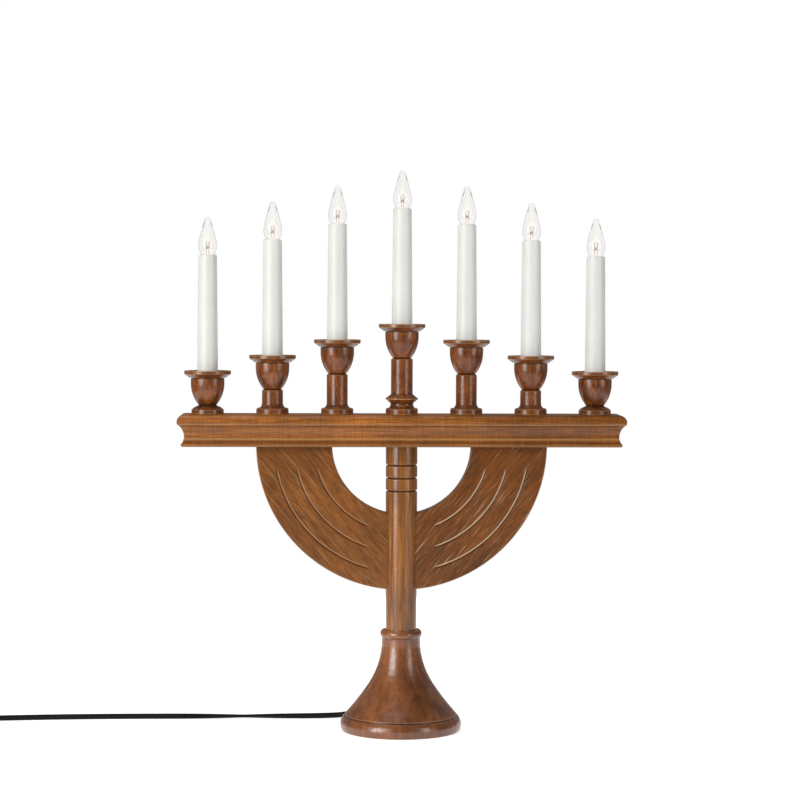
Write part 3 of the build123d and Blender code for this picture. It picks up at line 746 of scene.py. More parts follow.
def turned(name: str, points: Sequence[Point], centre: Sequence[float], closed: bool = False,
           segments: int = 96, flute: Callable[[float, float], float] | None = None) -> Piece:
    """Turn an outline about an upright axis.

    Args:
        name: the object's name.
        points: the outline in millimetres, from axis to axis unless it is closed.
        centre: the axis's foot, in metres.
        closed: whether the outline is a loop clear of the axis.
        segments: how many sides the turning has.
        flute: the share of its radius that a point gains, by angle and height in millimetres.

    Returns:
        The turned object.
    """
    wear_and_light_line = edge_wear_and_shade(points, closed)
    vertices: list[tuple[float, float, float]] = []
    wear_and_painted_light: list[float] = []
    rings: list[list[int]] = []
    for (radius, height), value in zip(points, wear_and_light_line):
        if radius < 1e-6:
            rings.append([len(vertices)] * segments)
            vertices.append((centre[0], centre[1], centre[2] + height * MM))
            wear_and_painted_light.append(value)
            continue
        ring = []
        for k in range(segments):
            angle = 2 * math.pi * k / segments
            reach = radius * MM * (1 + (flute(angle, height) if flute else 0.0))
            ring.append(len(vertices))
            vertices.append((centre[0] + reach * math.cos(angle), centre[1] + reach * math.sin(angle),
                             centre[2] + height * MM))
            wear_and_painted_light.append(value)
        rings.append(ring)
    return finish_mesh(name, vertices, bridged([*rings, rings[0]] if closed else rings), wear_and_painted_light)


def dress(piece: Piece, material: Material) -> Piece:
    """Give a piece one material in place of any that it has.

    Args:
        piece: the piece.
        material: its finish.

    Returns:
        The piece.
    """
    piece.data.materials.clear()
    piece.data.materials.append(material)
    return piece


def dress_nodes(material: Material, *names: str) -> None:
    """Dress solids that keep their own shape.

    Args:
        material: their finish.
        names: the solids' names.
    """
    for name in names:
        dress(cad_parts[name], material)
        log.info("%s keeps its solid", name)


def settle(piece: Piece, body: str, nodes: Iterable[str] = ()) -> Piece:
    """Put a finished piece on its body and say what it stands for.

    Args:
        piece: the piece, in place.
        body: the body that it moves with.
        nodes: the solids that it replaces.

    Returns:
        The piece.
    """
    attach(piece, body)
    names = list(nodes)
    if names:
        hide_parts(*names)
    log.info("%s rides on %s", piece.name, body)
    return piece


def middle_of(node: str) -> Vector:
    """The middle of a solid's box, with the height of its foot."""
    low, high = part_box(node)
    return Vector(((low.x + high.x) / 2, (low.y + high.y) / 2, low.z))


@dataclass
class Studio:
    """White sweep, soft lamps and the camera of the photograph; lengths in millimetres."""

    camera_distance: float = 2098.0
    camera_height: float = 383.6
    camera_yaw: float = -2.0
    camera_pitch: float = 2.39
    camera_roll: float = 0.2
    image_size: int = 800
    focal_pixels: float = 2350.0
    axis_pixel: float = 401.8
    clip_end: float = 50000.0
    floor_size: float = 1900.0
    floor_sides: int = 120
    floor_glow: float = 0.62
    fade_from: float = 475.0
    fade_to: float = 912.0
    ambient: float = 0.28
    dark_room: float = 0.05
    mirrored_backdrop: float = 0.22
    room_edge: float = -0.05
    backdrop_edge: float = 0.4

    def build(self) -> None:
        """Make the floor, the world, the lamps and the camera."""
        self.make_floor()
        self.make_world()
        self.make_lamps()
        self.make_camera()
        bpy.context.scene.view_settings.view_transform = "Standard"

    def make_floor(self) -> None:
        """Lay a round white floor that keeps a faint shadow and fades into the surround."""
        sides = range(self.floor_sides)
        corners = [2 * math.pi * k / self.floor_sides for k in sides]
        half = self.floor_size * MM / 2
        mesh = bpy.data.meshes.new("white_floor")
        mesh.from_pydata([(half * math.cos(a), half * math.sin(a), 0) for a in corners], [], [sides])
        floor = placed("white_floor", mesh)
        # The eye sees white without a horizon, and a faint shadow round the foot.
        material, tree, shader = new_material("matt white sweep")
        place = add_node(tree, "ShaderNodeTexCoord").outputs["Object"]
        away = add_node(tree, "ShaderNodeVectorMath", {0: place}, operation="LENGTH")
        lifted = add_node(tree, "ShaderNodeMapRange", {
            "Value": away.outputs["Value"], "From Min": self.fade_from * MM, "From Max": self.fade_to * MM,
            "To Min": self.floor_glow, "To Max": 1.0})
        glow = add_node(tree, "ShaderNodeMath", {0: self.seen_rays(tree), 1: lifted.outputs[0]},
                        operation="MULTIPLY")
        feed(shader, {"Base Color": linear("#f4f4f4"), "Roughness": 1.0, "Specular IOR Level": 0.0,
                      "Emission Color": (1, 1, 1, 1), "Emission Strength": glow.outputs[0]})
        mesh.materials.append(material)

    @staticmethod
    def seen_rays(tree: Tree) -> Socket:
        """Add nodes for the rays that show the background.

        Args:
            tree: the floor's or the world's tree.

        Returns:
            1 for a camera, glossy or transmission ray, and 0 for others.
        """
        path = add_node(tree, "ShaderNodeLightPath")
        either = add_node(tree, "ShaderNodeMath", {
            0: path.outputs["Is Camera Ray"], 1: path.outputs["Is Glossy Ray"]}, operation="MAXIMUM")
        every = add_node(tree, "ShaderNodeMath", {
            0: either.outputs[0], 1: path.outputs["Is Transmission Ray"]}, operation="MAXIMUM")
        return every.outputs[0]

    def make_world(self) -> None:
        """Surround the set with white that lights it only a little; the room behind the camera is dark."""
        world = bpy.data.worlds.new("white surround")
        world.use_nodes = True
        tree = world.node_tree
        background = tree.nodes["Background"]
        direction = add_node(tree, "ShaderNodeTexCoord").outputs["Generated"]
        parts = add_node(tree, "ShaderNodeSeparateXYZ", {0: direction})
        mirrored = add_node(tree, "ShaderNodeMapRange", {
            "Value": parts.outputs["Y"], "From Min": self.room_edge, "From Max": self.backdrop_edge,
            "To Min": self.dark_room, "To Max": self.mirrored_backdrop}, interpolation_type="SMOOTHSTEP")
        path = add_node(tree, "ShaderNodeLightPath")
        straight = add_node(tree, "ShaderNodeMath", {
            0: path.outputs["Is Camera Ray"], 1: path.outputs["Is Transmission Ray"]}, operation="MAXIMUM")
        shown = add_node(tree, "ShaderNodeMath", {0: straight.outputs[0], 1: mirrored.outputs[0]},
                         operation="MAXIMUM")
        strength = add_node(tree, "ShaderNodeMapRange", {
            "Value": self.seen_rays(tree), "To Min": self.ambient, "To Max": shown.outputs[0]})
        feed(background, {"Color": (1, 1, 1, 1), "Strength": strength.outputs[0]})
        bpy.context.scene.world = world

    def make_lamps(self) -> None:
        """Hang the soft boxes: a key, a strip on the right, one overhead, a gridded one and one behind."""
        self.soft_box("key_box", (-1500, -1450, 620), (0, 0, 280), (900, 1300), 31.0)
        self.soft_box("strip_box", (1560, -1400, 600), (0, 0, 280), (380, 1200), 9.0)
        self.soft_box("top_box", (-200, 100, 2000), (0, 0, 280), (1500, 1000), 8.0)
        self.soft_box("candle_box", (1500, -900, 470), (0, 0, 430), (200, 150), 0.02, 13.0)
        self.soft_box("back_box", (700, 2300, 700), (0, 0, 280), (1300, 1200), 14.0, mirrored=False)

    @staticmethod
    def soft_box(name: str, place: Sequence[float], aim: Sequence[float], size: Sequence[float],
                 power: float, spread: float = 180.0, mirrored: bool = True) -> None:
        """Hang one area lamp.

        Args:
            name: the lamp's name.
            place: where it hangs, in millimetres.
            aim: the point that it faces, in millimetres.
            size: its width and height, in millimetres.
            power: its power in watts.
            spread: the angle of its grid, in degrees.
            mirrored: whether gloss shows it; no glass does.
        """
        light = bpy.data.lights.new(name, "AREA")
        light.shape = "RECTANGLE"
        light.size, light.size_y = size[0] * MM, size[1] * MM
        light.energy = power
        light.spread = math.radians(spread)
        lamp = placed(name, light)
        start, end = Vector(place) * MM, Vector(aim) * MM
        facing = (end - start).to_track_quat("-Z", "Y").to_matrix().to_4x4()
        lamp.matrix_world = Matrix.Translation(start) @ facing
        lamp.visible_glossy = mirrored
        lamp.visible_transmission = False

    def make_camera(self) -> None:
        """Set up the camera where the photograph was taken from."""
        camera = bpy.data.cameras.new("photo_camera")
        camera.sensor_width = 36.0
        camera.lens = self.focal_pixels / self.image_size * camera.sensor_width
        camera.clip_end = self.clip_end * MM
        yaw = math.radians(self.camera_yaw)
        aside = math.atan((self.axis_pixel - self.image_size / 2) / self.focal_pixels)
        place = Vector((math.sin(yaw), -math.cos(yaw), 0)) * self.camera_distance * MM
        place.z = self.camera_height * MM
        turn = (Matrix.Rotation(yaw + aside, 4, "Z")
                @ Matrix.Rotation(math.radians(90 - self.camera_pitch), 4, "X")
                @ Matrix.Rotation(math.radians(self.camera_roll), 4, "Z"))
        holder = placed("photo_camera", camera)
        holder.matrix_world = Matrix.Translation(place) @ turn
        bpy.context.scene.camera = holder


@dataclass
class MainsLead:
    """Black flat twin-core lead, its coil, tie and plug; lengths in millimetres."""

    width: float = 5.0
    thickness: float = 2.8
    bushing_reach: float = 7.0
    exit_bearing: float = 132.0
    exit_height: float = 5.4
    rim_radius: float = 54.2
    route: list[tuple[float, float, float]] = field(default_factory=lambda: [
        (-45.30, 50.31, 5.2),
        (-50.81, 53.76, 4.1),
        (-57.06, 55.55, 3.0),
        (-78.0, 55.5, 2.5),
        (-105.0, 55.5, 2.4),
        (-150.0, 55.5, 2.4),
        (-195.0, 55.5, 2.4),
        (-222.0, 55.5, 2.4),
        (-250.0, 55.4, 2.4),
        (-302.0, 53.3, 2.5),
        (-364.0, 47.9, 2.5),
        (-410.0, 41.4, 2.5),
    ])
    tilts: list[float] = field(default_factory=lambda: [
        90.0, 90.0, 90.0, 90.0, 90.0, 62.0, 0.0, -62.0, -90.0])
    coil_pitch: float = 5.1
    coil_lead_in: float = 4.6
    climb_radius: float = 16.5
    half_turns: int = 8
    points_per_turn: int = 16
    low_level: float = 2.5
    high_level: float = 7.5
    tail_level: float = 10.0
    tail_slope: float = 14.0
    tail_end: float = 9.0
    plug_axis: float = 6.85
    length: float = 1811.0
    smoothness: int = 8
    section_points: int = 28
    finish: MouldedPlastic = MouldedPlastic("black soft PVC, extruded", "#070707", "#040404", 0.55,
                                            mottle_size=30.0, skin_size=0.8, skin_height=0.04,
                                            gloss_share=0.2)
    plug_finish: MouldedPlastic = MouldedPlastic("black PVC, moulded", "#161616", "#0e0e0e", 0.5,
                                                 mottle_size=20.0, skin_size=0.6, skin_height=0.12)
    pin_finish: PressedBrass = PressedBrass("plated brass, turned", "#d9cfae", "#b7a877", 0.2)

    def exit_point(self) -> Vector:
        """The tip of the bushing, where the lead comes out, in millimetres."""
        reach, bearing = self.rim_radius + self.bushing_reach, math.radians(self.exit_bearing)
        return Vector((reach * math.cos(bearing), reach * math.sin(bearing), self.exit_height))

    def coil_points(self) -> list[Vector]:
        """Work out the coil's control points: in on the floor, up half a turn, out on top, and to the plug.

        Returns:
            The points after the route's last one, in millimetres.
        """
        pitch = self.coil_pitch
        step = pitch / 2
        last, before = Vector(self.route[-1]), Vector(self.route[-2])
        way = Vector((last.x - before.x, last.y - before.y, 0)).normalized()
        side = Vector((way.y, -way.x, 0))
        outer = self.climb_radius + self.half_turns * step
        start = Vector((last.x, last.y, 0)) + way * self.coil_lead_in
        centre = start - side * outer
        swell = 1 / math.cos(math.pi / self.points_per_turn)
        half = self.points_per_turn // 2
        turns = 2 * self.half_turns + 0.5
        points = []
        for k in range(1, int(turns * half) + 1):
            share = (k - 0.5) / half
            if share < self.half_turns:
                radius, level = outer - share * step, self.low_level
            elif share < self.half_turns + 1:
                radius = self.climb_radius
                level = self.low_level + (self.high_level - self.low_level) * (share - self.half_turns)
            else:
                radius, level = self.climb_radius + (share - self.half_turns - 1) * step, self.high_level
            angle = math.pi * share
            reach = radius * swell
            points.append(centre + side * reach * math.cos(angle) + way * reach * math.sin(angle)
                          + Vector((0, 0, level)))
        tail = centre + way * outer
        run = self.tail_level + self.tail_slope
        points.append(tail - side * self.tail_level + Vector((0, 0, self.high_level)))
        points.append(tail - side * run + Vector((0, 0, self.plug_axis)))
        points.append(tail - side * (run + self.tail_end) + Vector((0, 0, self.plug_axis)))
        return points

    def build(self) -> Piece:
        """Lay the lead on one smooth spline and put its section along it.

        Returns:
            The lead.
        """
        material = self.finish.material()
        points = [self.exit_point(), *(Vector(p) for p in self.route), *self.coil_points()]
        line = smooth_line("lead_line", [point * MM for point in points], self.smoothness)
        for index, control in enumerate(line.data.splines[0].points):
            control.tilt = math.radians(self.tilts[min(index, len(self.tilts) - 1)])
        graph = bpy.context.evaluated_depsgraph_get()
        plain = bpy.data.meshes.new_from_object(line.evaluated_get(graph))
        bpy.data.meshes.remove(plain)
        lead = self.swept(line, material)
        settle(lead, "frame", ("cord_run", "cord_coil"))
        dress_nodes(self.plug_finish.material(), "plug_body", "coil_tie", "cord_bushing")
        dress_nodes(self.pin_finish.material(), "plug_pins")
        return lead

    def swept(self, line: Piece, material: Material) -> Piece:
        """Sweep the twin-core section along the line with geometry nodes.

        Args:
            line: the curve that the lead follows.
            material: the lead's finish.

        Returns:
            The lead as a plain mesh.
        """
        tree = bpy.data.node_groups.new("flat lead on its line", "GeometryNodeTree")
        tree.interface.new_socket("Geometry", in_out="INPUT", socket_type="NodeSocketGeometry")
        for name in ("Core radius", "Core spacing"):
            tree.interface.new_socket(name, in_out="INPUT", socket_type="NodeSocketFloat")
        tree.interface.new_socket("Finish", in_out="INPUT", socket_type="NodeSocketMaterial")
        tree.interface.new_socket("Geometry", in_out="OUTPUT", socket_type="NodeSocketGeometry")
        start = add_node(tree, "NodeGroupInput")
        upright = add_node(tree, "GeometryNodeSetCurveNormal", {"Curve": start.outputs["Geometry"]},
                           mode="Z_UP")
        round_core = add_node(tree, "GeometryNodeCurvePrimitiveCircle", {
            "Resolution": self.section_points, "Radius": start.outputs["Core radius"]})
        spot = add_node(tree, "GeometryNodeInputPosition")
        parts = add_node(tree, "ShaderNodeSeparateXYZ", {0: spot.outputs[0]})
        side = add_node(tree, "ShaderNodeMath", {0: parts.outputs["X"]}, operation="SIGN")
        apart = add_node(tree, "ShaderNodeMath", {0: side.outputs[0], 1: start.outputs["Core spacing"]},
                         operation="MULTIPLY")
        shift = add_node(tree, "ShaderNodeCombineXYZ", {"X": apart.outputs[0]})
        section = add_node(tree, "GeometryNodeSetPosition", {
            "Geometry": round_core.outputs["Curve"], "Offset": shift.outputs[0]})
        tube = add_node(tree, "GeometryNodeCurveToMesh", {
            "Curve": upright.outputs[0], "Profile Curve": section.outputs[0], "Fill Caps": True})
        shaded = add_node(tree, "GeometryNodeSetShadeSmooth", {"Geometry": tube.outputs[0]})
        real = add_node(tree, "GeometryNodeRealizeInstances", {"Geometry": shaded.outputs[0]})
        painted = add_node(tree, "GeometryNodeSetMaterial", {
            "Geometry": real.outputs[0], "Material": start.outputs["Finish"]})
        add_node(tree, "NodeGroupOutput", {"Geometry": painted.outputs[0]})
        modifier = line.modifiers.new("flat lead", "NODES")
        modifier.node_group = tree
        core = self.thickness / 2
        spacing = self.width / 2 - core
        set_inputs(modifier, {"Core radius": core * MM, "Core spacing": spacing * MM, "Finish": material})
        return realised(line, "mains_lead")


def smooth_line(name: str, points: Sequence[Sequence[float]], smoothness: int) -> Piece:
    """Lay a smooth curve that starts and ends at its outer control points.

    Args:
        name: the curve's name.
        points: the control points, in metres.
        smoothness: how many steps the curve takes from each to the next.

    Returns:
        The curve.
    """
    curve = bpy.data.curves.new(name, "CURVE")
    curve.dimensions = "3D"
    curve.resolution_u = smoothness
    spline = curve.splines.new("NURBS")
    spline.points.add(len(points) - 1)
    for control, point in zip(spline.points, points):
        control.co = (*point, 1.0)
    spline.order_u = 3
    spline.use_endpoint_u = True
    return placed(name, curve)


def set_inputs(modifier: bpy.types.Modifier, values: dict[str, Any]) -> None:
    """Set a geometry-nodes modifier's inputs by their sockets' identifiers.

    Args:
        modifier: the modifier.
        values: a value for each named input.
    """
    for item in modifier.node_group.interface.items_tree:
        if item.item_type == "SOCKET" and item.in_out == "INPUT" and item.name in values:
            modifier[item.identifier] = values[item.name]


def realised(source: Piece, name: str) -> Piece:
    """Turn an object's evaluated geometry into a plain mesh object and remove the source.

    Args:
        source: the object with its modifiers.
        name: the new object's name.

    Returns:
        The plain object, at the origin.
    """
    bpy.context.view_layer.update()
    graph = bpy.context.evaluated_depsgraph_get()
    mesh = bpy.data.meshes.new_from_object(source.evaluated_get(graph))
    mesh.name = name
    bpy.data.objects.remove(source)
    return placed(name, mesh)


@dataclass
class FootAndPost:
    """The turned bell foot and the ringed post; lengths in millimetres."""

    sole_radius: float = 52.5
    rim_radius: float = 54.2
    rim_widest: float = 5.6
    rim_top_radius: float = 51.4
    rim_height: float = 12.6
    quirk_radius: float = 49.8
    quirk_height: float = 13.1
    bell_radius: float = 50.2
    bell_height: float = 14.2
    waist_radius: float = 29.3
    waist_height: float = 41.0
    neck_radius: float = 17.2
    neck_height: float = 81.0
    collar_radius: float = 18.6
    collar_bottom: float = 83.2
    collar_top_radius: float = 17.0
    recess_radius: float = 36.0
    recess_height: float = 12.0
    felt_radius: float = 44.0
    felt_thickness: float = 1.5
    post_bottom_radius: float = 13.75
    post_top_radius: float = 14.1
    groove_depth: float = 1.3
    groove_width: float = 2.2
    groove_pitch: float = 11.5
    first_groove_drop: float = 16.8
    groove_count: int = 3
    post_sink: float = 1.0
    edge_round: float = 0.35
    point_step: float = 1.2
    foot_wood: StainedWood = StainedWood(
        "stained hardwood, turned for the foot", GrainWay.UPRIGHT, "#683a1a", "#864d25", "#955a30",
        band_width=8.0, mottle_share=0.4, fibre_share=0.32, roughness=0.28, gloss_share=0.85)
    post_wood: StainedWood = StainedWood(
        "stained hardwood, turned for the post", GrainWay.UPRIGHT, "#75441c", "#905a29", "#a36b35",
        band_width=4.0, scratch_share=0.15, roughness=0.24, gloss_share=0.55, fibre_share=0.5)
    felt: PressedFelt = PressedFelt("pressed wool felt")

    def build(self) -> None:
        """Turn the foot and the post."""
        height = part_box("foot")[1].z / MM
        outline = Outline([(0, self.recess_height)])
        outline.line((self.recess_radius, self.recess_height), (self.recess_radius, self.felt_thickness),
                     (self.felt_radius, self.felt_thickness), (self.felt_radius, 0), (self.sole_radius, 0))
        outline.through((self.rim_radius, self.rim_widest), (self.rim_top_radius, self.rim_height))
        outline.line((self.quirk_radius, self.quirk_height), (self.bell_radius, self.bell_height))
        waist = (self.waist_radius, self.waist_height)
        _, heading = outline.arc_points((self.neck_radius, self.neck_height), waist, (0, -1))
        outline.bend_into(waist, (-heading[0], -heading[1]))
        outline.bend_into((self.neck_radius, self.neck_height), (0, 1))
        outline.line((self.neck_radius, self.collar_bottom))
        outline.through((self.collar_radius, (self.collar_bottom + height) / 2),
                        (self.collar_top_radius, height))
        outline.line((0, height))
        points = outline.finished(self.edge_round, self.point_step)
        foot = turned("turned_foot", points, (0, 0, 0), segments=128)
        settle(dress(foot, self.foot_wood.material()), "frame", ["foot"])

        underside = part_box("beam_underboard")[0].z / MM
        bottom = height - self.post_sink
        outline = Outline([(0, bottom), (self.post_bottom_radius, bottom)])
        for ring in reversed(range(self.groove_count)):
            middle = underside - self.first_groove_drop - ring * self.groove_pitch
            share = (middle - height) / (underside - height)
            radius = self.post_bottom_radius + (self.post_top_radius - self.post_bottom_radius) * share
            outline.line((radius, middle - self.groove_width / 2), (radius - self.groove_depth, middle),
                         (radius, middle + self.groove_width / 2))
        outline.line((self.post_top_radius, underside), (0, underside))
        points = outline.finished(self.edge_round, self.point_step)
        post = turned("turned_post", points, (0, 0, 0), segments=96)
        settle(dress(post, self.post_wood.material()), "frame", ["post"])
        dress_nodes(self.felt.material(), "felt_pad")


@dataclass
class MouldedBeam:
    """The moulded beam and the board under it; lengths in millimetres."""

    nose_height: float = 15.7
    nose_top_inset: float = 6.2
    nose_lip_inset: float = 0.9
    nose_lip_height: float = 12.9
    nose_quirk: float = 0.5
    wall_inset: float = 6.2
    wall_height: float = 2.5
    board_top_inset: float = 5.6
    board_edge_inset: float = 3.8
    board_edge_height: float = 2.8
    board_sole_inset: float = 5.2
    face_inset: float = 14.2
    corner_round: float = 0.7
    corner_steps: int = 4
    edge_round: float = 0.3
    point_step: float = 0.9
    # The beam's edges are painted paler than the board's: a painted highlight on the nose lip as well as
    # wear.
    beam_rub_and_glint: float = 0.85
    board_rub: float = 0.5
    # The beam's wood is painted darker towards its right end, as painted shade.
    wood: StainedWood = StainedWood(
        "stained hardwood, moulded", GrainWay.ALONG, "#91541e", "#9f5e22", "#a96728",
        band_width=4.0, fibre_width=0.7, fibre_share=0.45, fleck_share=0.17, mottle_share=0.25,
        dull_top=0.75, right_shade_from=20.0, right_shade_to=120.0, right_shade_tone=0.74)
    # The board is the beam's wood painted darker, as painted shade under the beam.
    shaded_board_wood: StainedWood = StainedWood(
        "stained hardwood, planed, in painted shade", GrainWay.ALONG, "#814819", "#8e5320", "#985c26",
        band_width=4.0, fibre_width=0.7, fleck_share=0.15, mottle_share=0.25)

    def build(self) -> None:
        """Mould the beam and the board."""
        wood = self.wood.material()
        beam = self.moulded("moulded_beam", "beam", self.beam_outline(), self.beam_rub_and_glint)
        settle(dress(beam, wood), "frame", ["beam"])
        board = self.moulded("moulded_board", "beam_underboard", self.board_outline(), self.board_rub)
        settle(dress(board, self.shaded_board_wood.material()), "frame", ["beam_underboard"])

    def beam_outline(self) -> list[Point]:
        """Draw the beam's edge from its floor to its top.

        Returns:
            Points of minus the inset from the nose, and the height above the seam.
        """
        top = (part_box("beam")[1].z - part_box("beam")[0].z) / MM
        cove_top = (-self.nose_lip_inset - self.nose_quirk, self.nose_lip_height)
        outline = Outline([(-self.face_inset, 0), (-self.wall_inset, 0),
                           (-self.wall_inset, self.wall_height)])
        outline.bend(cove_top, (0, 1))
        outline.line((-self.nose_lip_inset, self.nose_lip_height))
        outline.bend_into((0, self.nose_height), (0, 1))
        outline.bend((-self.nose_top_inset, top), (0, 1))
        outline.line((-self.face_inset, top))
        return outline.finished(self.edge_round, self.point_step)

    def board_outline(self) -> list[Point]:
        """Draw the board's edge from its sole to its top.

        Returns:
            Points of minus the inset from the beam's nose, and the height above the sole.
        """
        top = (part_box("beam_underboard")[1].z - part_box("beam_underboard")[0].z) / MM
        outline = Outline([(-self.face_inset, 0), (-self.board_sole_inset, 0)])
        outline.bend((-self.board_edge_inset, self.board_edge_height), (1, 0))
        outline.bend_into((-self.board_top_inset, top), (0, 1))
        outline.line((-self.face_inset, top))
        return outline.finished(self.edge_round, self.point_step)

    def moulded(self, name: str, node: str, outline: Sequence[Point], rub_and_glint: float) -> Piece:
        """Run an edge round the beam's four sides and close it above and below.

        Args:
            name: the new object's name.
            node: the solid that it stands for.
            outline: the edge, as minus the inset and the height.
            rub_and_glint: how far its sharp edges are painted pale, as wear and as highlight.

        Returns:
            The moulded piece.
        """
        wear_and_light_line = edge_wear_and_shade(outline, False, rub_and_glint)
        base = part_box(node)[0].z
        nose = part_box("beam")[1]
        soft = self.corner_round * MM
        vertices, wear_and_painted_light, rings = [], [], []
        for (inset, height), value in zip(outline, wear_and_light_line):
            flat_x, flat_y = nose.x + inset * MM - soft, nose.y + inset * MM - soft
            ring = []
            for quarter, (sign_x, sign_y) in enumerate(((1, 1), (-1, 1), (-1, -1), (1, -1))):
                for part in range(self.corner_steps + 1):
                    angle = math.radians(90 * (quarter + part / self.corner_steps))
                    ring.append(len(vertices))
                    vertices.append((sign_x * flat_x + soft * math.cos(angle),
                                     sign_y * flat_y + soft * math.sin(angle), base + height * MM))
                    wear_and_painted_light.append(value)
            rings.append(ring)
        faces = [list(reversed(rings[0])), list(rings[-1]), *bridged(rings)]
        return finish_mesh(name, vertices, faces, wear_and_painted_light)


@dataclass
class QuarterWings:
    """The two quarter rings with carved arcs; lengths in millimetres."""

    outer_radius: float = 129.8
    inner_radius: float = 62.1
    thickness: float = 14.0
    centre_rise: float = 1.4
    root: float = 11.6
    edge_round: float = 0.8
    carving_radii: tuple[float, ...] = (78.4, 96.15, 113.9)
    carving_half_width: float = 1.3
    carving_depth: float = 0.35
    # The grooves are painted: shade on their outer side, and a highlight on their inner lip.
    carving_shade: float = 0.75
    left_lip_glint: float = 0.55
    right_lip_glint: float = 1.0
    carving_top_drop: float = 21.4
    carving_end_reach: float = 29.6
    carving_taper: float = 7.0
    carving_blunt: float = 0.35
    shade_middle: float = 0.4
    shade_reach: float = 0.9
    lip_middle: float = -0.7
    lip_reach: float = 0.7
    side_change: float = -0.1
    groove_paint_reach: float = 1.7
    rim_rub: float = 0.5
    rim_width: float = 0.7
    steps_along: int = 170
    fine_step: float = 0.22
    fine_reach: float = 2.4
    coarse_step: float = 1.2
    left_wood: StainedWood = StainedWood(
        "stained hardwood, sawn and carved on the left", GrainWay.FALLING, "#7a471d", "#865022", "#905929",
        band_width=3.0, band_length=50.0, fibre_width=0.55, fibre_length=9.0, fibre_share=0.46,
        scratch_share=0.5)
    # The right wing is the left's wood painted darker, as painted shade, with a paler edge colour for painted
    # highlights besides wear.
    shaded_right_wood: StainedWood = StainedWood(
        "stained hardwood, sawn and carved on the right", GrainWay.RISING, "#6d3d16", "#79451b", "#834e22",
        band_width=3.0, band_length=50.0, fibre_width=0.55, fibre_length=9.0, fibre_share=0.46,
        scratch_share=0.4, rubbed_and_glint="#e8cfa6")

    def build(self) -> None:
        """Saw and carve both wings."""
        for side, node, wood, lip_glint in ((-1, "left_wing", self.left_wood, self.left_lip_glint),
                                      (1, "right_wing", self.shaded_right_wood, self.right_lip_glint)):
            wing = self.sawn(f"carved_{node}", side, lip_glint)
            settle(dress(wing, wood.material()), "frame", [node])

    def section(self) -> list[Point]:
        """Draw the ring's section as a loop of radius and depth, with rounded edges.

        Returns:
            The loop's points, the front first.
        """
        half, soft = self.thickness / 2, self.edge_round
        inner, outer = self.inner_radius + soft, self.outer_radius - soft
        front, back = soft - half, half - soft
        radii: list[float] = []
        radius = inner
        while radius < outer:
            near = min(abs(radius - r) for r in self.carving_radii)
            radii.append(radius)
            radius += self.fine_step if near < self.fine_reach else self.coarse_step
        radii.append(outer)
        angles = [math.radians(15 * k) for k in range(1, 6)]
        bows = [(soft * math.sin(a), soft * math.cos(a)) for a in angles]
        loop = [(r, -half) for r in radii]
        loop += [(outer + s, front - c) for s, c in bows]
        loop += [(self.outer_radius, depth) for depth in (front, 0, back)]
        loop += [(outer + c, back + s) for s, c in bows]
        loop += [(r, half) for r in (outer, (outer + inner) / 2, inner)]
        loop += [(inner - s, back + c) for s, c in bows]
        loop += [(self.inner_radius, depth) for depth in (back, 0, front)]
        loop += [(inner - c, front - s) for s, c in bows]
        return loop

    def carved(self, radius: float, angle: float, lip_glint: float) -> tuple[float, float]:
        """Say how deep the carving is at a place on the front.

        Args:
            radius: the distance from the ring's centre.
            angle: the angle below the level through the centre.
            lip_glint: how bright the painted highlight on the groove's inner side is.

        Returns:
            The depth, and the painted light: painted shade below 0 on the groove's outer side, and a painted
                highlight above 0 on its inner one.
        """
        depth, wear_and_painted_light = 0.0, 0.0
        for groove in self.carving_radii:
            first = math.asin(self.carving_top_drop / groove)
            last = math.acos(self.carving_end_reach / groove)
            from_end = min(angle - first, last - angle) * groove
            share = min(1.0, from_end / self.carving_taper + self.carving_blunt) if from_end > 0 else 0.0
            across = (radius - groove) / self.carving_half_width
            if share and abs(across) < self.groove_paint_reach:
                depth = max(depth, self.carving_depth * share * max(0.0, 1 - across**2))
                # Painted shade on the outer side of the groove, and a painted highlight on its inner lip.
                if across > self.side_change:
                    away = abs(across - self.shade_middle) / self.shade_reach
                    wear_and_painted_light = -self.carving_shade * share * max(0.0, 1 - away)
                else:
                    away = abs(across - self.lip_middle) / self.lip_reach
                    wear_and_painted_light = lip_glint * share * max(0.0, 1 - away)
        return depth, wear_and_painted_light

    def sawn(self, name: str, side: int, lip_glint: float) -> Piece:
        """Make one wing.

        Args:
            name: the new object's name.
            side: -1 for the left and 1 for the right.
            lip_glint: how bright the painted highlight on the grooves' inner sides is.

        Returns:
            The wing.
        """
        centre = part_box("beam_underboard")[0].z / MM + self.centre_rise
        half, hair = self.thickness / 2, 1e-6
        rim = self.outer_radius - self.edge_round + hair
        loop = self.section()
        vertices, wear_and_painted_light, rows = [], [], []
        for step in range(self.steps_along + 1):
            row = []
            for radius, depth in loop:
                first = math.asin(self.centre_rise / radius)
                last = math.acos(self.root / radius)
                angle = first + (last - first) * step / self.steps_along
                front = depth < hair - half
                cut, value = self.carved(radius, angle, lip_glint) if front else (0.0, 0.0)
                if radius > rim and abs(depth) > half - self.rim_width:
                    value = self.rim_rub
                row.append(len(vertices))
                vertices.append((side * radius * math.cos(angle) * MM, (depth + cut) * MM,
                                 (centre - radius * math.sin(angle)) * MM))
                wear_and_painted_light.append(value)
            rows.append(row)
        faces = [list(rows[0]), list(reversed(rows[-1])), *bridged(rows)]
        return finish_mesh(name, vertices, faces, wear_and_painted_light)


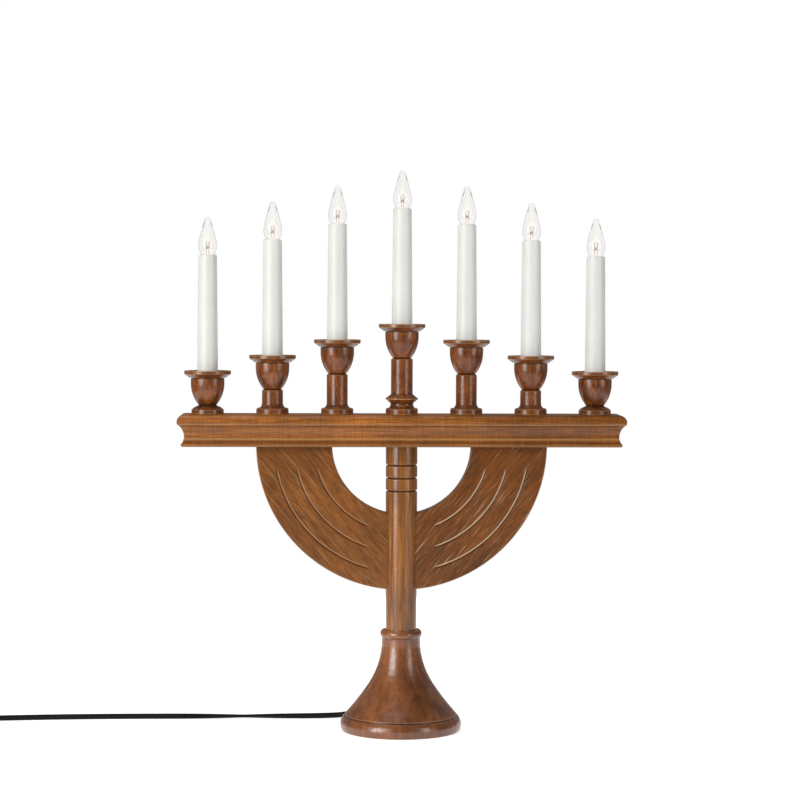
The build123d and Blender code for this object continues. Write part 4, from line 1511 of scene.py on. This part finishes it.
@dataclass
class CandleCups:
    """The seven turned cups, in three patterns; lengths in millimetres."""

    rim_radius: float = 20.8
    rim_lip: float = 2.9
    slope_height: float = 3.5
    slope_radius: float = 15.9
    dish_depth: float = 1.2
    dish_edge: float = 1.6
    quirk_radius: float = 14.5
    quirk_height: float = 0.8
    bowl_radius: float = 14.95
    bowl_straight: float = 4.0
    bowl_height: float = 23.5
    neck_radius: float = 7.8
    column_radius: float = 9.35
    column_round: float = 1.6
    cove_height: float = 10.0
    cove_foot: Point = (11.9, 5.3)
    disc_radius: float = 14.4
    disc_edge: float = 3.8
    squat_shoulder: Point = (12.2, 5.7)
    squat_throat: Point = (8.3, 0.3)
    collar_edge: Point = (14.6, 13.8)
    collar_edge_round: float = 0.9
    collar_half_height: float = 4.2
    collar_waist_radius: float = 10.1
    collar_column_radius: float = 9.7
    socket_radius: float = 9.25
    socket_depth: float = 12.0
    edge_round: float = 0.35
    point_step: float = 1.0
    wood: StainedWood = StainedWood(
        "stained hardwood, turned for the cups", GrainWay.UPRIGHT, "#5f2f10", "#7d4118", "#915424",
        band_width=5.0, band_length=40.0, fibre_length=4.0, fibre_share=0.6, scratch_share=0.4,
        scratch_length=2.2, mottle_size=14.0, mottle_share=0.4, roughness=0.28, gloss_share=0.5,
        dull_top=0.9)

    def build(self) -> None:
        """Turn the seven cups."""
        wood = self.wood.material()
        beam_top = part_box("beam")[1].z
        for number in LAMPS:
            node = f"candle_cup_{number}"
            height = (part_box(node)[1].z - beam_top) / MM
            place = middle_of(node)
            points = self.outline(height, abs(number - MIDDLE)).finished(self.edge_round, self.point_step)
            cup = turned(f"turned_cup_{number}", points, (place.x, place.y, beam_top), segments=72)
            settle(dress(cup, wood), "frame", [node])

    def outline(self, height: float, rank: int) -> Outline:
        """Draw a cup from the middle of its foot to the middle of its socket.

        Args:
            height: the cup's height above the beam.
            rank: how many places it stands from the middle.

        Returns:
            The outline.
        """
        neck = height - self.rim_lip - self.slope_height - self.quirk_height - self.bowl_height
        bowl_top = neck + self.bowl_height
        outline = Outline([(0, 0), (self.disc_radius, 0), (self.disc_radius, self.disc_edge)])
        if rank == OUTERMOST:
            throat, drop = self.squat_throat
            outline.line(self.squat_shoulder, (throat, neck - drop))
        else:
            outline.bend(self.cove_foot, (0, 1))
            column = self.collar_column_radius if rank == 0 else self.column_radius
            if rank == 0:
                edge, level = self.collar_edge
                bevel, soft = edge - self.collar_edge_round, self.collar_edge_round
                outline.bend_into((self.collar_waist_radius, level - self.collar_half_height), (0, 1))
                outline.line((bevel, level - soft)).through((edge, level), (bevel, level + soft))
                outline.line((column, level + self.collar_half_height))
            else:
                outline.bend_into((column, self.cove_height), (0, 1))
            outline.line((column, neck - self.column_round))
            outline.bend((self.neck_radius, neck), (0, 1))
        if rank == OUTERMOST:
            outline.line((self.neck_radius, neck))
        outline.bend_into((self.bowl_radius, bowl_top - self.bowl_straight), (0, 1))
        slope_foot, dish_top = bowl_top + self.quirk_height, self.rim_radius - self.dish_edge
        dish, socket = height - self.dish_depth, height - self.socket_depth
        outline.line((self.bowl_radius, bowl_top), (self.quirk_radius, bowl_top),
                     (self.quirk_radius, slope_foot), (self.slope_radius, slope_foot),
                     (self.rim_radius, height - self.rim_lip), (self.rim_radius, height),
                     (dish_top, height), (dish_top - self.dish_depth, dish),
                     (self.socket_radius, dish), (self.socket_radius, socket), (0, socket))
        return outline


@dataclass
class CandleSleeves:
    """The seven white sleeves; lengths in millimetres."""

    bottom_radius: float = 9.2
    top_radius: float = 8.2
    seat_depth: float = 12.0
    wall: float = 1.0
    lip_round: float = 0.4
    seed: int = 7
    point_step: float = 6.0
    finish: MouldedPlastic = MouldedPlastic("white polypropylene, moulded", "#e9eae5", "#e4e5df", 0.4,
                                            mottle_size=25.0, skin_size=0.9, skin_height=0.03,
                                            glow_through=0.4, gloss_share=0.45)

    def build(self) -> None:
        """Turn one sleeve and set it in every cup with geometry nodes."""
        low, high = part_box(f"candle_sleeve_{MIDDLE}")
        full = (high.z - low.z) / MM
        outline = Outline([(self.bottom_radius - self.wall, -full), (self.bottom_radius, -full),
                           (self.bottom_radius, self.seat_depth - full), (self.top_radius, 0),
                           (self.top_radius - self.wall, 0),
                           (self.bottom_radius - self.wall, self.seat_depth - full)])
        points = outline.finished(self.lip_round, self.point_step, closed=True)
        sleeve = turned("one_sleeve", points, (0, 0, 0), closed=True, segments=72)
        row = bpy.data.meshes.new("sleeve_places")
        tops = [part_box(f"candle_sleeve_{n}") for n in LAMPS]
        row.from_pydata([((a.x + b.x) / 2, (a.y + b.y) / 2, b.z) for a, b in tops], [], [])
        places = placed("sleeve_places", row)
        modifier = places.modifiers.new("sleeves", "NODES")
        modifier.node_group = self.tree()
        set_inputs(modifier, {"Sleeve": sleeve, "Seed": self.seed, "Finish": self.finish.material()})
        sleeves = realised(places, "white_sleeves")
        bpy.data.objects.remove(sleeve)
        smooth(sleeves.data)
        settle(sleeves, "frame", [f"candle_sleeve_{n}" for n in LAMPS])

    @staticmethod
    def tree() -> Tree:
        """Build the nodes that stand a sleeve, turned at random, on every place.

        Returns:
            The node group.
        """
        tree = bpy.data.node_groups.new("a sleeve in every cup", "GeometryNodeTree")
        tree.interface.new_socket("Geometry", in_out="INPUT", socket_type="NodeSocketGeometry")
        tree.interface.new_socket("Sleeve", in_out="INPUT", socket_type="NodeSocketObject")
        tree.interface.new_socket("Seed", in_out="INPUT", socket_type="NodeSocketInt")
        tree.interface.new_socket("Finish", in_out="INPUT", socket_type="NodeSocketMaterial")
        tree.interface.new_socket("Geometry", in_out="OUTPUT", socket_type="NodeSocketGeometry")
        start = add_node(tree, "NodeGroupInput")
        shape = add_node(tree, "GeometryNodeObjectInfo", {"Object": start.outputs["Sleeve"]})
        spin = add_node(tree, "FunctionNodeRandomValue", {
            "Max": (0.0, 0.0, 2 * math.pi), "Min": (0.0, 0.0, 0.0), "Seed": start.outputs["Seed"]},
            data_type="FLOAT_VECTOR")
        standing = add_node(tree, "GeometryNodeInstanceOnPoints", {
            "Points": start.outputs["Geometry"], "Instance": shape.outputs["Geometry"],
            "Rotation": spin.outputs[0]})
        real = add_node(tree, "GeometryNodeRealizeInstances", {"Geometry": standing.outputs[0]})
        painted = add_node(tree, "GeometryNodeSetMaterial", {
            "Geometry": real.outputs[0], "Material": start.outputs["Finish"]})
        add_node(tree, "NodeGroupOutput", {"Geometry": painted.outputs[0]})
        return tree


@dataclass
class FlameLamps:
    """The seven screw-in flame lamps and their holders; lengths in millimetres from the sleeve's top."""

    neck_radius: float = 4.37
    neck_bottom: float = -7.0
    neck_top: float = -2.5
    shoulder: Point = (7.2, 2.7)
    belly: Point = (8.25, 7.5)
    cone_foot: Point = (7.0, 16.1)
    cone_top: Point = (2.6, 32.1)
    height: float = 34.0
    wall: float = 0.7
    flutes: int = 10
    flute_share: float = 0.012
    flute_foot: float = 14.0
    flute_rise: float = 8.0
    flute_top: float = 33.0
    flute_fade: float = 3.0
    point_step: float = 1.0
    lead_spread: float = 1.4
    lead_radius: float = 0.2
    lead_foot: float = -9.0
    lead_start: Point = (1.0, 1.0)
    lead_in_bead: float = 1.3
    lead_end_drop: float = 2.0
    bead_height: float = 7.0
    bead_radius: float = 1.6
    bead_half_height: float = 1.3
    stem_foot: float = 3.0
    stem_points: tuple[Point, ...] = ((2.2, -1.0), (1.2, 1.6), (0.0, 2.4))
    filament_height: float = 15.0
    filament_radius: float = 0.32
    filament_drop: float = 2.2
    filament_bow: Point = (0.9, 0.9)
    wire_smoothness: int = 12
    glass: BlownGlass = BlownGlass("clear soda glass, blown")
    # The bead and the stem glow a little: painted light in place of what the glass keeps from them.
    bead_finish: MouldedPlastic = MouldedPlastic("lead glass bead, pressed", "#c9b3a4", "#a38b7c", 0.2,
                                                 mottle_size=1.5, skin_size=0.4, skin_height=0.02, painted_glow=0.35)
    stem_finish: MouldedPlastic = MouldedPlastic("cement and glass stem", "#f6e9de", "#efdccb", 0.5,
                                                 mottle_size=2.0, skin_size=0.4, skin_height=0.02, painted_glow=0.6)
    cap_finish: PressedBrass = PressedBrass("lamp brass, pressed")
    holder_finish: MouldedPlastic = MouldedPlastic("white urea resin, moulded", "#dedcd6", "#d3d0c8", 0.45)
    lead_finish: PressedBrass = PressedBrass("nickel lead wire, drawn", "#b9a48c", "#8c6f55", 0.35)
    glow: GlowingWire = GlowingWire("tungsten filament, lit")

    def build(self) -> None:
        """Blow and mount the seven lamps and dress their holders."""
        glass, bead = self.glass.material(), self.bead_finish.material()
        stem, lead, glow = self.stem_finish.material(), self.lead_finish.material(), self.glow.material()
        brass = self.cap_finish.material()
        dress_nodes(self.holder_finish.material(), "lamp_holders", "lamp_wires")
        dress_nodes(brass, "holder_shells")
        for number in LAMPS:
            low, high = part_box(f"candle_sleeve_{number}")
            place = ((low.x + high.x) / 2, (low.y + high.y) / 2, high.z)
            body = f"bulb_{number}"
            dress_nodes(brass, f"bulb_cap_{number}", f"spring_contact_{number}")
            bulb = turned(f"flame_glass_{number}", self.glass_outline(), place, segments=80,
                          flute=self.fluted)
            settle(dress(bulb, glass), body, [f"bulb_glass_{number}"])
            mount = self.mount(f"lamp_mount_{number}", place, (lead, bead, stem, glow))
            settle(mount, body, [f"bulb_filament_{number}"])

    def fluted(self, angle: float, height: float) -> float:
        """Say what share of its radius the glass gains: shallow flutes that fade in on the cone.

        Args:
            angle: the angle round the lamp.
            height: the height above the sleeve's top.

        Returns:
            The share.
        """
        rise = max(0.0, min(1.0, (height - self.flute_foot) / self.flute_rise))
        fade = max(0.0, min(1.0, (self.flute_top - height) / self.flute_fade))
        return self.flute_share * rise * fade * math.cos(self.flutes * angle)

    def glass_outline(self) -> list[Point]:
        """Draw the wall of the glass, down its inside and up its outside.

        Returns:
            The outline's points.
        """
        outline = Outline([(0, self.height - self.wall)])
        for inset, inside in ((self.wall, True), (0.0, False)):
            neck = self.neck_radius - inset
            half = Outline([(neck, self.neck_bottom), (neck, self.neck_top)])
            half.through((self.shoulder[0] - inset, self.shoulder[1]), (self.belly[0] - inset, self.belly[1]))
            half.bend((self.cone_foot[0] - inset, self.cone_foot[1]), (0, 1))
            half.line((self.cone_top[0] - inset, self.cone_top[1] - inset))
            half.bend_into((0, self.height - inset), (-1, 0))
            outline.line(*(reversed(half.points[:-1]) if inside else half.points))
        return outline.spaced(outline.points, self.point_step, False)

    def mount(self, name: str, place: Sequence[float], finishes: Sequence[Material]) -> Piece:
        """Make the stem, the two leads, the bead and the filament of one lamp as one piece.

        Args:
            name: the piece's name.
            place: the middle of the sleeve's top, in metres.
            finishes: the materials of the leads, the bead, the stem and the filament.

        Returns:
            The piece.
        """
        spread, top = self.lead_spread, self.filament_height
        low, high = self.bead_height - self.bead_half_height, self.bead_height + self.bead_half_height
        bead = Outline([(0, low)]).through((self.bead_radius, self.bead_height), (0, high))
        stem = Outline([(0, self.lead_foot), (self.stem_foot, self.lead_foot), *self.stem_points])
        parts = []
        for side, side_name in ((-1, "left"), (1, "right")):
            across, up = self.lead_start
            points = [(side * across, up), (side * self.lead_in_bead, self.bead_height),
                      (side * spread, top - self.lead_end_drop)]
            parts.append((self.wire(f"{name}_{side_name}", place, points, self.lead_radius), 0))
        parts.append((turned(f"{name}_bead", bead.finished(0.3, 0.4), place, segments=24), 1))
        parts.append((turned(f"{name}_stem", stem.finished(0.4, 0.8), place, segments=24), 2))
        bow, rise = self.filament_bow
        points = [(-spread, top - self.filament_drop), (-bow, top + rise), (bow, top + rise),
                  (spread, top - self.filament_drop)]
        parts.append((self.wire(f"{name}_glow", place, points, self.filament_radius), 3))
        for part, index in parts:
            part.data.materials.clear()
            for finish in finishes:
                part.data.materials.append(finish)
            part.data.polygons.foreach_set("material_index", [index] * len(part.data.polygons))
        return joined([part for part, _ in parts], name)

    def wire(self, name: str, place: Sequence[float], points: Sequence[Point], radius: float) -> Piece:
        """Bend a thin wire through points in the lamp's own upright plane.

        Args:
            name: the new object's name.
            place: the middle of the sleeve's top, in metres.
            points: across and up, in millimetres.
            radius: the wire's radius in millimetres.

        Returns:
            The wire as a mesh.
        """
        controls = [(place[0] + across * MM, place[1], place[2] + up * MM) for across, up in points]
        line = smooth_line(name, controls, self.wire_smoothness)
        line.data.bevel_depth = radius * MM
        line.data.bevel_resolution = 3
        line.data.use_fill_caps = True
        return realised(line, name)


def joined(parts: Sequence[Piece], name: str) -> Piece:
    """Join mesh objects that share their list of materials.

    Args:
        parts: the objects, each at the origin.
        name: the joined object's name.

    Returns:
        The joined object.
    """
    work = bmesh.new()
    for part in parts:
        work.from_mesh(part.data)
    mesh = bpy.data.meshes.new(name)
    work.to_mesh(mesh)
    work.free()
    for material in parts[0].data.materials:
        mesh.materials.append(material)
    for part in parts:
        bpy.data.objects.remove(part)
    smooth(mesh)
    return placed(name, mesh)


def main() -> None:
    """Build the set and the candelabrum."""
    logging.basicConfig(level=logging.INFO, format="%(name)s: %(message)s")
    Studio().build()
    MainsLead().build()
    FootAndPost().build()
    MouldedBeam().build()
    QuarterWings().build()
    CandleCups().build()
    CandleSleeves().build()
    FlameLamps().build()
    birch = StainedWood("birch dowel, planed", GrainWay.UPRIGHT, "#b48f62", "#c7a577", "#d4b68b")
    dress_nodes(birch.material(), "dowels")
    sheath = MouldedPlastic("black PVC sheath, extruded", "#121212", "#0a0a0a", 0.45)
    dress_nodes(sheath.material(), "inner_cord")


if __name__ == "__main__":
    main()
